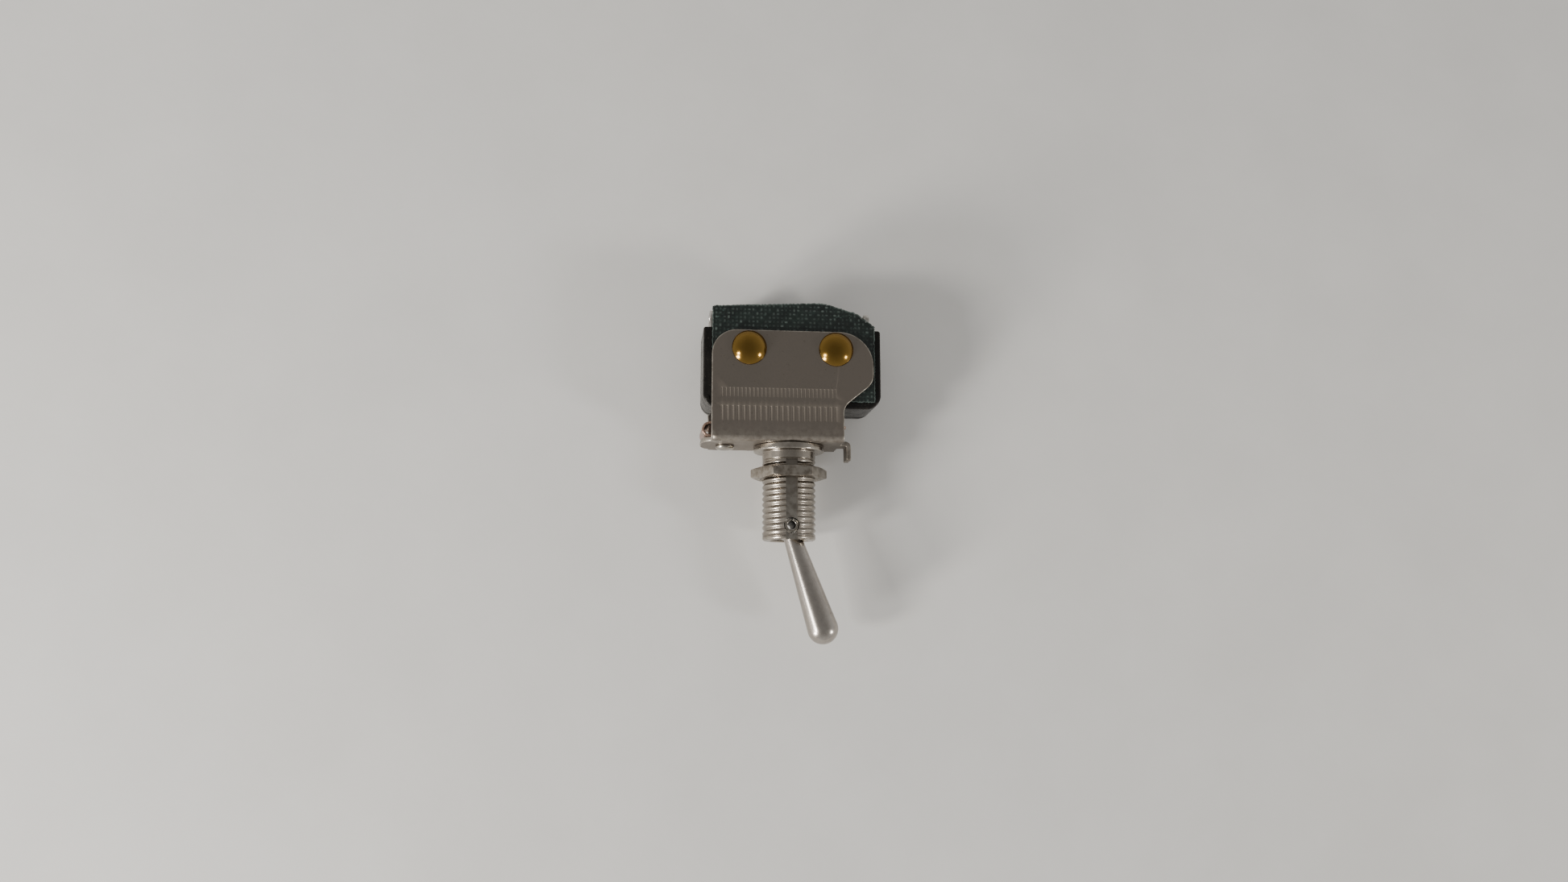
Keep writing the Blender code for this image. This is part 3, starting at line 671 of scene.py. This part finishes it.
bushing_low, bushing_high = node_box("bushing")
FLANGE_R = bushing_high.x
THREAD_R = 2.94
PITCH, THREAD_DEPTH = 0.635, 0.17
THREAD_START, THREAD_STOP = -1.68, -9.98
BUSHING_END = bushing_low.y
KEY_HALF, KEY_FLOOR = 0.65, 2.58
PIN_HOLE = 0.85
BORE_R, GUIDE_R = 2.1, 1.15


def make_bushing():
    """Turned body with a helical thread, cut by the keyway and the pin's hole."""
    sides, turn_rings = 240, 14
    outer = rounded(
        [
            (0.95, GUIDE_R, 0),
            (0.95, 2.5, 0.1),
            (0.55, 2.8, 0.05),
            (0.55, 2.25, 0),
            (-0.03, 2.25, 0),
            (-0.03, FLANGE_R, 0.1),
            (-0.72, FLANGE_R, 0.14),
            (-0.72, THREAD_R - 0.02, 0.12),
            (THREAD_START + 0.14, THREAD_R - 0.02, 0.05),
            (THREAD_START + 0.05, THREAD_R - 0.13, 0.04),
            (THREAD_START, THREAD_R - 0.04, 0),
        ],
        4,
        False,
    )
    rings = [(point.x, point.y, 0.0) for point in outer]
    steps = round((THREAD_START - THREAD_STOP) / PITCH * turn_rings)
    for k in range(1, steps):
        y = THREAD_START + (THREAD_STOP - THREAD_START) * k / steps
        fade = min(1.0, (THREAD_START - y) / 0.5, (y - THREAD_STOP) / 0.25)
        rings.append((y, THREAD_R, fade))
    inner = rounded(
        [
            (THREAD_STOP, THREAD_R, 0),
            (THREAD_STOP - 0.04, THREAD_R - 0.07, 0.02),
            (THREAD_STOP - 0.09, THREAD_R - 0.01, 0.02),
            (BUSHING_END, THREAD_R - 0.02, 0.24),
            (BUSHING_END, BORE_R, 0.15),
            (-3.0, BORE_R, 0.1),
            (-3.0, GUIDE_R, 0.05),
            (0.9, GUIDE_R, 0),
        ],
        5,
        False,
    )
    rings += [(point.x, point.y, 0.0) for point in inner]
    shape = Shape()
    placed = []
    for y, radius, cutting in rings:
        ring = []
        for k in range(sides):
            angle = 2 * math.pi * k / sides
            phase = y / PITCH - angle / (2 * math.pi)
            wave = (0.5 - 0.5 * math.cos(2 * math.pi * phase)) ** 1.2
            r = radius - cutting * THREAD_DEPTH * wave
            ring.append((r * math.sin(angle), y, r * math.cos(angle)))
        placed.append(shape.add(ring))
    shape.bridge(placed, closed=True)
    made = to_object(shape, "bushing_threaded")
    low = (-KEY_HALF, BUSHING_END - 2, KEY_FLOOR)
    key = block("key_tool", low, (KEY_HALF, THREAD_START - 0.05, 5))
    return carve(made, [key, drill("pin_tool", "Z", PIN_HOLE, -5, 5, (0, PIVOT_Y))])


def bushing_painted_shade(point):
    """Painted shade of the bushing: black in the bore, lighter on the keyway's floor, none on the
    thread.
    """
    radius = math.hypot(point.x, point.z)
    if radius < KEY_FLOOR - 0.05:
        return 1.0 if point.y > BUSHING_END + 0.3 else 0.0
    return 0.3 if radius < KEY_FLOOR + 0.13 and point.y < THREAD_START else 0.0


def make_nut():
    """Hexagon with rounded corners, its faces chamfered to the round bearing faces."""
    low, high = node_box("hex_nut")
    flats = high.z - low.z
    corner_round, chamfer = 0.08, math.radians(16)
    reach = (flats / 2 - corner_round) / math.cos(math.pi / 6)
    tangent = math.atan2(corner_round * 0.5, reach + corner_round * math.cos(math.pi / 6))
    corner = math.degrees(tangent)
    sector = [-30 + corner * k / 4 for k in range(4)]
    sector += [-30 + corner + (60 - 2 * corner) * k / 16 for k in range(17)]
    sector += [30 - corner * k / 4 for k in range(3, 0, -1)]
    face, bore = flats / 2 - 0.13, THREAD_R + 0.05
    slope = math.tan(chamfer)
    shape = Shape()
    columns = []
    for turn in range(6):
        for degrees in sector:
            off = math.radians(30 - abs(degrees))
            if off < tangent:
                across = reach * math.sin(off)
                radius = reach * math.cos(off) + math.sqrt(corner_round**2 - across**2)
            else:
                radius = flats / 2 / math.cos(math.radians(degrees))
            drop = (radius - face) * slope
            half = [
                (0.3, bore),
                (0.06, bore + 0.22),
                (0.0, bore + 0.3),
                (0.0, face - 0.06),
                (0.01, face + 0.02),
                (drop - 0.008, radius - 0.03),
                (drop + 0.012, radius - 0.008),
                (drop + 0.04, radius),
            ]
            column = [(low.y + y, r) for y, r in half] + [(high.y - y, r) for y, r in half[::-1]]
            angle = math.radians(60 * turn + degrees)
            columns.append([(r * math.sin(angle), y, r * math.cos(angle)) for y, r in column])
    rings = [shape.add([column[k] for column in columns]) for k in range(len(columns[0]))]
    shape.bridge(rings, closed=True)
    return to_object(shape, "nut_chamfered")


def tilted(made):
    """Turn an object built along -Y at the origin of the axes onto the tilted lever's axis."""
    to_pivot = Matrix.Translation(ORIGIN + Vector((0, PIVOT_Y, 0)) * MM)
    made.data.transform(to_pivot @ Matrix.Rotation(TILT, 4, "Z") @ Matrix.Translation(-ORIGIN))
    return made


TIP_R, TIP_REACH, BALL_R, NECK_R = 1.7, 13.33, 1.6, 0.98
CAM_OFFSET, CAM_R, CAM_FOOT_R = 0.75, 2.2, 1.4


def make_lever():
    """Bat with a round tip and a ball at the pivot, joined to its cam foot and drilled."""
    shoulder = math.sqrt(BALL_R**2 - NECK_R**2)
    crown = TIP_REACH - TIP_R
    profile = [(-TIP_REACH, 0)]
    quarter = spaced(0, math.radians(90), 18)[1:]
    profile += [(-crown - TIP_R * math.cos(a), TIP_R * math.sin(a)) for a in quarter]
    for k in range(1, 24):
        t = 1 - k / 24
        profile.append((-shoulder - (crown - shoulder) * t, NECK_R + (TIP_R - NECK_R) * t))
    first = -math.asin(shoulder / BALL_R)
    swing = spaced(first, math.pi / 2, 18)
    profile += [(BALL_R * math.sin(a), BALL_R * math.cos(a)) for a in swing[:-1]] + [(BALL_R, 0)]
    shape = Shape()
    shape.lathe(profile, "Y", 96)
    lever = tilted(to_object(shape, "lever_bat"))
    edge = CAM_FOOT_R + 0.4
    end = math.degrees(math.acos((CAM_OFFSET - edge) / CAM_R))
    cam = [Vector(point[:2]) for point in arc((-CAM_OFFSET, 0), CAM_R, 0, end, 24)]
    cam += [Vector((-edge, -0.5)), Vector((CAM_R - CAM_OFFSET, -0.5))]
    shape = Shape()
    shape.plate([cam], -edge, edge, 0.02, steps=1)
    foot = tilted(to_object(shape, "foot_tool"))
    waist = tilted(drill("waist_tool", "Y", CAM_FOOT_R, -0.4, 4))
    carve(foot, [waist], "INTERSECT")
    carve(lever, [foot], "UNION")
    return carve(lever, [drill("eye_tool", "Z", PIN_HOLE, -4, 4, (0, PIVOT_Y))])


def make_pin():
    """Rolled sheet pin with its slit toward the face plate."""
    outer_r, inner_r, slit = 0.74, 0.46, 0.25
    gap = math.degrees(slit / 2 / outer_r)
    outline = arc((0, 0), outer_r, 90 + gap, 450 - gap, 44)
    gap = math.degrees(slit / 2 / inner_r)
    outline += arc((0, 0), inner_r, 450 - gap, 90 + gap, 32)
    half = node_box("pivot_pin")[1].z
    shape = Shape()
    loop = [Vector(point[:2]) for point in outline]
    shape.plate([loop], -half, half, 0.06, lambda u, v, w: (u, v + PIVOT_Y, w))
    return to_object(shape, "pin_rolled")


# ---------------------------------------------------------------- turned pieces


def turned(name, corners, axis, centre=(0, 0), sides=64):
    """Lathe piece from (along, radius, softening) corners that start and end on the axis."""
    shape = Shape()
    profile = [(point.x, point.y) for point in rounded(corners, 4, False)]
    shape.lathe(profile, axis, sides, centre)
    return to_object(shape, name)


def make_rivet(name, side):
    """Domed head on the near plate, shank, and rolled hollow tail behind the far plate."""
    low, high = (corner.z for corner in node_box(name))
    base, radius = PLATE_OUTER + 0.03, 1.9
    tall = high - base
    curve = (radius**2 + tall**2) / (2 * tall)
    spread = math.asin(radius / curve)
    shape = Shape()
    profile = [(high, 0)]
    for k in range(1, 19):
        angle = spread * k / 18
        profile.append((high - curve + curve * math.cos(angle), curve * math.sin(angle) * 0.995))
    tail = [
        (base + 0.06, radius - 0.01, 0),
        (base, radius - 0.06, 0.04),
        (base, 1.1, 0),
        (-base, 1.1, 0),
        (-base, 1.75, 0.06),
        (-base - 0.28, 1.74, 0.2),
        (low, 1.25, 0.15),
        (low, 0.75, 0.15),
        (low + 0.4, 0.6, 0.15),
        (low + 1.4, 0.58, 0.1),
        (low + 1.7, 0, 0),
    ]
    profile += [(point.x, point.y) for point in rounded(tail, 4, False)]
    shape.lathe(profile, "Z", 72, (side * RIVET_X, RIVET_Y))
    return to_object(shape, f"{name}_turned")


# ---------------------------------------------------------------- insulating sheets

THREAD_PITCH = 0.45
RELIEF = 0.08
EDGE_STEP, FRAY = 0.16, 0.09
SHEET_FACE = node_box("insulator_near")[1].z
SHEET_OUTLINE = [
    (-8.8, 15.0, 0.3),
    (-8.8, 4.45, 0.3),
    (9.2, 4.45, 0.3),
    (9.2, 13.05, 0.3),
    (7.1, 14.55, 1.5),
    (3.4, 15.59, 1.5),
]


def weave(u, v):
    """Height of plain cloth, 0 to 1, over the threads that cross at (u, v)."""
    p = THREAD_PITCH
    i, j = np.floor(u / p), np.floor(v / p)
    uneven = 0.75 + 0.25 * np.sin(i * 2.3 + j * 1.1) * np.sin(j * 3.7 - i * 0.6)
    over = np.abs(np.sin(np.pi * u / p)) * (0.5 + 0.5 * np.sin(np.pi * (v / p - i)))
    under = np.abs(np.sin(np.pi * v / p)) * (0.5 + 0.5 * np.sin(np.pi * (u / p - j - 1)))
    return np.maximum(over, under) * uneven


def make_insulator(name, seed):
    """Cloth board with a slightly frayed outline and its weave in relief where it shows."""
    low, high = node_box(name)
    chance = np.random.default_rng(seed)
    outline = densified(rounded(SHEET_OUTLINE, 6), lambda point: EDGE_STEP)
    inward = mitres(outline)
    outline = [p + n * FRAY * chance.random() ** 2 for p, n in zip(outline, inward)]
    step = THREAD_PITCH / 5
    u, v = np.meshgrid(np.arange(-8.7, 9.15, step), np.arange(4.55, 15.55, step))
    grid = np.stack([u.ravel(), v.ravel()], 1)
    inner = [[tuple(p + n * 0.1) for p, n in zip(outline, inward)]]
    grid = grid[inside(grid, inner)]
    cover = [(u, v - along(0), r) for u, v, r in plate_outline(PLATE_TOP, 1)]
    cover += [(PLATE_LEFT, 0, 0), (WAIST_RIGHT, 0, 0)]
    cover = [[tuple(point) for point in rounded(cover, 8)]]
    hidden = np.ones(len(grid), bool)
    for shift in ((0.3, 0), (-0.3, 0), (0, 0.3), (0, -0.3)):
        hidden &= inside(grid + shift, cover)
    grid = grid[~hidden]
    depth = RELIEF * (1 - weave(grid[:, 0], grid[:, 1]))
    spots = [(a, b, d) for (a, b), d in zip(grid, depth)]
    sides = [(spots, ()), ((), ())]
    top, base = sides if high.z > 0 else sides[::-1]
    shape = Shape()
    holes = rivet_holes((RIVET_Y,), 32)
    shape.plate([outline] + holes, low.z, high.z, 0.04, flat, top, base, steps=2)
    return to_object(shape, f"{name}_cloth")


def hollow_of_weave(point):
    """How far below the crests of the threads a point lies, 0 to 1."""
    return min(1.0, max(0.0, (SHEET_FACE - abs(point.z)) / RELIEF))


# ---------------------------------------------------------------- switch case, cover and terminals

case_low, case_high = node_box("switch_case")
CASE_HALF = case_high.z
CASE_OUTLINE = [
    (case_low.x, case_low.y, 1.4),
    (case_high.x, case_low.y, 1.6),
    (case_high.x, case_high.y, 0.3),
    (case_low.x, case_high.y, 0.3),
]
# Each terminal's name, the x of its lug, and the y and the end's x of its arm inside the case.
TERMINALS = (
    ("common_terminal", -8.65, 6.15, -6.9),
    ("no_terminal", 0.0, 7.75, 7.9),
    ("nc_terminal", 8.7, 4.70, 6.3),
)
STRIP, STRIP_HALF = 0.4, 1.0
LUG_START, LUG_HALF, LUG_THICK = 12.75, 1.4, 0.55
EYE_Y, EYE_R = 14.1, 0.6
PLUNGER_X, PLUNGER_HOLE = 1.6, 1.15
CASE_WALL, CASE_FLOOR = 0.7, 1.05
CAVITY_START, CAVITY_END = 4.6, 11.4


def make_case():
    """Moulded case with its cavity, rivet holes, terminal slots and plunger hole."""
    shape = Shape()
    loop = rounded(CASE_OUTLINE, 12)
    shape.plate([loop], case_low.z, case_high.z, 0.16, steps=4)
    case = to_object(shape, "case_moulded")
    pip = [
        (CASE_HALF - 0.3, 0, 0),
        (CASE_HALF - 0.3, 0.3, 0),
        (CASE_HALF + 0.04, 0.26, 0.1),
        (CASE_HALF + 0.07, 0, 0),
    ]
    carve(case, [turned("pip", pip, "Z", (case_low.x + 0.5, 4.75), 24)], "UNION")
    low = (case_low.x + CASE_WALL, CAVITY_START, case_low.z - 1)
    high = (case_high.x - CASE_WALL, CAVITY_END, CASE_HALF - CASE_FLOOR)
    tools = [block("cavity", low, high)]
    for side in (-1, 1):
        centre = (side * RIVET_X, RIVET_Y)
        tools.append(drill(f"hole_{side}", "Z", RIVET_HOLE, -5, 5, centre))
    for name, x, _, _ in TERMINALS:
        low = (x - STRIP / 2 - 0.05, 11.0, -STRIP_HALF - 0.05)
        tools.append(block(f"slot_{name}", low, (x + STRIP / 2 + 0.05, 14.0, STRIP_HALF + 0.05)))
    tools.append(drill("plunger_hole", "Y", PLUNGER_HOLE, 2.5, 5.0, (PLUNGER_X, 0)))
    return carve(case, tools)


def make_cover():
    """Flat cover that closes the case on its far side."""
    low, high = (corner.z for corner in node_box("switch_cover"))
    shape = Shape()
    loop = rounded(CASE_OUTLINE, 12)
    shape.plate([loop] + rivet_holes((RIVET_Y,), 32), low, high, 0.14, steps=4)
    return to_object(shape, "cover_moulded")


def make_terminal(name, x, arm_y, arm_end):
    """Lug with its eye, joined to the strip that runs into the case and turns to its contact."""
    end = node_box(name)[1].y
    corners = [
        (LUG_START, -LUG_HALF, 0.1),
        (end, -LUG_HALF, 0.7),
        (end, LUG_HALF, 0.7),
        (LUG_START, LUG_HALF, 0.1),
    ]
    loops = [rounded(corners, 8), circle((EYE_Y, 0), EYE_R, 32, True)]
    half = LUG_THICK / 2
    shape = Shape()
    shape.plate(loops, x - half, x + half, 0.09, lambda u, v, w: (w, u, v))
    made = to_object(shape, f"{name}_lug")
    away = math.copysign(STRIP / 2, arm_end - x)
    strip = [
        (x - away, arm_y),
        (arm_end, arm_y),
        (arm_end, arm_y + STRIP),
        (x + away, arm_y + STRIP),
        (x + away, 13.15),
        (x - away, 13.15),
    ]
    strip = [Vector(point) for point in (strip if arm_end > x else strip[::-1])]
    shape = Shape()
    shape.plate([strip], -STRIP_HALF, STRIP_HALF, 0.03, steps=1)
    return carve(made, [to_object(shape, "strip_tool")], "UNION")


# ---------------------------------------------------------------- hairpin leaf

LEAF = 0.25
leaf_low, leaf_high = node_box("leaf_spring")
arm_low, arm_high = node_box("leaf_arm")
LEAF_BEND_X = -8.95
LEAF_FOOT_Y = leaf_low.y + LEAF / 2
LEAF_ARM_Y = (arm_low.y + arm_high.y) / 2
LEAF_R = (LEAF_ARM_Y - LEAF_FOOT_Y) / 2
FOOT_LENGTH = leaf_high.x - LEAF_BEND_X
LEAF_TURN = math.pi * LEAF_R
ARM_LENGTH = arm_high.x - LEAF_BEND_X


def curl(u, v, w):
    """Bend the flat leaf into the hairpin; w is outward."""
    if u < FOOT_LENGTH:
        return (leaf_high.x - u, LEAF_FOOT_Y - w, v)
    if u < FOOT_LENGTH + LEAF_TURN:
        angle = (u - FOOT_LENGTH) / LEAF_R
        x = LEAF_BEND_X - (LEAF_R + w) * math.sin(angle)
        return (x, LEAF_FOOT_Y + LEAF_R - (LEAF_R + w) * math.cos(angle), v)
    return (LEAF_BEND_X + u - FOOT_LENGTH - LEAF_TURN, LEAF_ARM_Y + w, v)


def make_leaf():
    """Both limbs and the bend of the hairpin as one strip, narrower toward its free end."""
    half = leaf_high.z
    start = FOOT_LENGTH + LEAF_TURN
    outline = rounded(
        [
            (0, -half, 0.25),
            (start + ARM_LENGTH * 0.55, -half, 2.0),
            (start + ARM_LENGTH, -1.6, 1.0),
            (start + ARM_LENGTH, 1.6, 1.0),
            (start + ARM_LENGTH * 0.55, half, 2.0),
            (0, half, 0.25),
        ],
        8,
    )
    outline = densified(outline, lambda p: 0.08 if FOOT_LENGTH - 0.1 < p.x < start + 0.1 else 0.5)
    spots = [
        (FOOT_LENGTH + LEAF_TURN * k / 22, half * 0.95 * (n / 4 - 1), 0.0)
        for k in range(23)
        for n in range(9)
    ]
    hole = circle((leaf_high.x - LEAF_RIVET_X, 0), LEAF_RIVET_HOLE, 32, True)
    shape = Shape()
    shape.plate([outline, hole], -LEAF / 2, LEAF / 2, 0.04, curl, (spots, ()), (spots, ()), steps=2)
    return to_object(shape, "leaf_hairpin")


# ---------------------------------------------------------------- looks

NICKEL = metal(
    "nickel", (0.222, 0.194, 0.166), (0.204, 0.177, 0.151), 0.46, (0.5, 0.46, 0.4), lines=0.05
)
DULL = metal("dull_nickel", (0.23, 0.2, 0.165), (0.16, 0.135, 0.11), 0.36, (0.5, 0.46, 0.4))
BRIGHT = metal(
    "bushing_nickel", (0.33, 0.295, 0.255), (0.27, 0.24, 0.205), 0.25, (0.55, 0.51, 0.45),
    lines=0.08,
)
CHROME = metal(
    "satin_chrome", (0.42, 0.385, 0.35), (0.35, 0.315, 0.28), 0.24, (0.7, 0.67, 0.62), lines=0.15
)
STEEL = metal("pin_steel", (0.32, 0.29, 0.25), (0.22, 0.19, 0.16), 0.27, (0.6, 0.57, 0.5))
BRASS = metal(
    "brass", (0.25, 0.15, 0.038), (0.17, 0.098, 0.022), 0.16, (0.66, 0.47, 0.2),
    soil_and_shade=(0.04, 0.02, 0.01),
)
COPPER = metal(
    "leaf_copper", (0.42, 0.26, 0.195), (0.28, 0.165, 0.12), 0.3, (0.66, 0.46, 0.36), (1, 0.15, 1)
)
TIN = metal("solder_tin", (0.50, 0.48, 0.45), (0.30, 0.28, 0.25), 0.36, (0.78, 0.76, 0.72))
SILVER = metal("contact_silver", (0.72, 0.70, 0.66), (0.5, 0.48, 0.44), 0.24, (0.9, 0.88, 0.85))
PHENOLIC = moulded(
    "phenolic", (0.011, 0.010, 0.009), (0.005, 0.0045, 0.004), 0.27, (0.05, 0.043, 0.036)
)
NYLON = moulded("nylon", (0.58, 0.55, 0.48), (0.46, 0.43, 0.36), 0.38, (0.33, 0.29, 0.22), 0.72)
CLOTH = woven("insulator_cloth")


# ---------------------------------------------------------------- the switch

finish(
    make_bracket(), NICKEL, "frame", "bracket_nickel", "bracket", angle=50,
    plain=lambda p: p.z > 0 and -8.2 < p.x < 5.1 and 1.5 < p.y < 6.3,  # round the strokes
)
finish(make_bushing(), BRIGHT, "frame", "bushing_nickel", "bushing", deep=bushing_painted_shade)
finish(make_nut(), DULL, "nut", "nut_nickel", "hex_nut", angle=28)
finish(make_lever(), CHROME, "lever", "lever_chrome", "lever")
finish(
    make_pin(), STEEL, "frame", "pin_steel", "pivot_pin",
    # painted shade: the pin's bore is darkened to black
    deep=lambda p: 1.0 if math.hypot(p.x, p.y - PIVOT_Y) < 0.5 and abs(p.z) < 2.5 else 0.0,
)
finish(make_rivet("rivet_left", -1), BRASS, "frame", "rivet_left_brass", "rivet_left")
finish(make_rivet("rivet_right", 1), BRASS, "frame", "rivet_right_brass", "rivet_right")
for name, seed, slot in (("insulator_near", 4, "sheet_near"), ("insulator_far", 9, "sheet_far")):
    finish(make_insulator(name, seed), CLOTH, "frame", slot, name, deep=hollow_of_weave)
finish(make_case(), PHENOLIC, "frame", "case_phenolic", "switch_case")
finish(make_cover(), PHENOLIC, "frame", "cover_phenolic", "switch_cover")
for name, x, arm_y, arm_end in TERMINALS:
    finish(make_terminal(name, x, arm_y, arm_end), TIN, "frame", f"{name}_tin", name)

leaf = finish(make_leaf(), COPPER, None, "leaf_copper", "leaf_spring", "leaf_arm", angle=50)
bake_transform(leaf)

rod_low, rod_high = node_box("push_rod")
finish(
    turned(
        "rod_turned",
        [(rod_low.y, 0, 0), (rod_low.y, 2.04, 0.2), (rod_low.y + 1.1, 2.04, 0.2),
         (rod_low.y + 1.1, 1.08, 0.15), (rod_high.y, 1.08, 0.4), (rod_high.y, 0, 0)],
        "Y",
    ),
    NYLON, "rod", "rod_nylon", "push_rod",
)
button_low, button_high = node_box("plunger")
finish(
    turned(
        "plunger_turned",
        [(button_low.y, 0, 0), (button_low.y, 1.08, 0.4), (4.65, 1.08, 0.1), (4.65, 1.58, 0.12),
         (5.25, 1.58, 0.12), (5.25, 0.59, 0.1), (button_high.y, 0.59, 0.2), (button_high.y, 0, 0)],
        "Y", (PLUNGER_X, 0), 48,
    ),
    NYLON, "button", "plunger_nylon", "plunger",
)
rivet_low, rivet_high = node_box("leaf_rivet")
finish(
    turned(
        "leaf_rivet_turned",
        [(rivet_low.y, 0, 0), (rivet_low.y, 1.03, 0.3), (rivet_low.y + 0.41, 1.04, 0.06),
         (rivet_low.y + 0.41, 0.6, 0), (0.83, 0.6, 0), (0.83, 0.99, 0.05),
         (rivet_high.y, 0.97, 0.22), (rivet_high.y, 0, 0)],
        "Y", (LEAF_RIVET_X, 0), 48,
    ),
    STEEL, "frame", "leaf_rivet_steel", "leaf_rivet",
)

for name, look in (
    ("snap_blade", COPPER),
    ("moving_contact", SILVER),
    ("nc_contact", SILVER),
    ("no_contact", SILVER),
):
    kept = bpy.data.objects[name]
    kept.data.materials.clear()
    kept.data.materials.append(look)


# ---------------------------------------------------------------- floor, lights and camera


def studio_paper():
    """Pale matte paper with a faint fibre texture."""
    n = Nodes("paper")
    tone = n.remap(n.noise(60, 5, 0.6), 0.3, 0.7)
    n.link(n.blend(tone, (0.72, 0.71, 0.69), (0.77, 0.76, 0.74)), n.shader.inputs["Base Color"])
    n.shader.inputs["Roughness"].default_value = 0.9
    n.link(n.bump(n.noise(900, 4, 0.6), 0.2, 0.00005), n.shader.inputs["Normal"])
    return n.material


floor_mesh = bpy.data.meshes.new("floor")
reach = 1.2
corners = [(-reach, -reach, 0), (reach, -reach, 0), (reach, reach, 0), (-reach, reach, 0)]
floor_mesh.from_pydata(corners, [], [(0, 1, 2, 3)])
floor_mesh.materials.append(studio_paper())
floor = place("floor", floor_mesh)

TARGET = ORIGIN + Vector((0, 3, 2)) * MM  # what the lights face


def softbox(name, toward, distance, width, height, watts, tint):
    """Rectangular light at a distance from the switch along a direction, facing it."""
    data = bpy.data.lights.new(name, "AREA")
    data.shape = "RECTANGLE"
    data.size, data.size_y = width, height
    data.energy = watts
    data.color = tint
    light = place(name, data)
    direction = Vector(toward).normalized()
    light.location = TARGET + direction * distance
    light.rotation_euler = direction.to_track_quat("Z", "Y").to_euler()


softbox("key", (-0.82, -0.565, 0.27), 0.34, 0.06, 0.07, 1.1, (1.0, 0.96, 0.9))
softbox("upper_key", (-0.82, -0.33, 0.47), 0.36, 0.05, 0.06, 0.7, (1.0, 0.97, 0.92))
softbox("second", (0.86, -0.40, 0.40), 0.36, 0.05, 0.05, 0.4, (1.0, 0.96, 0.9))


def sky():
    """Even studio surround, brighter near the horizon than overhead."""
    world = bpy.data.worlds.new("studio")
    bpy.context.scene.world = world
    world.use_nodes = True
    tree = world.node_tree
    where = tree.nodes.new("ShaderNodeTexCoord").outputs["Generated"]
    split = tree.nodes.new("ShaderNodeSeparateXYZ")
    tree.links.new(where, split.inputs[0])
    ramp = tree.nodes.new("ShaderNodeMapRange")
    for name, value in (("From Min", 0.1), ("From Max", 0.95), ("To Min", 0.72), ("To Max", 0.32)):
        ramp.inputs[name].default_value = value
    tree.links.new(split.outputs["Z"], ramp.inputs["Value"])
    background = tree.nodes["Background"]
    background.inputs["Color"].default_value = (0.96, 0.95, 0.93, 1)
    tree.links.new(ramp.outputs["Result"], background.inputs["Strength"])


sky()

# The camera that was fitted to the photo.
lens = bpy.data.cameras.new("camera")
lens.lens, lens.sensor_width = 28.05, 36.0
lens.clip_start, lens.clip_end = 0.001, 10.0
camera = place("camera", lens)
back = Vector((-0.11451, -0.15517, 0.98123)).normalized()
up = Vector((-0.01696, 0.98789, 0.15425))
side = up.cross(back).normalized()
facing = Matrix((side, back.cross(side), back)).transposed().to_4x4()
camera.matrix_world = Matrix.Translation(ORIGIN + Vector((-16.04, -20.4, 132.94)) * MM) @ facing
bpy.context.scene.camera = camera
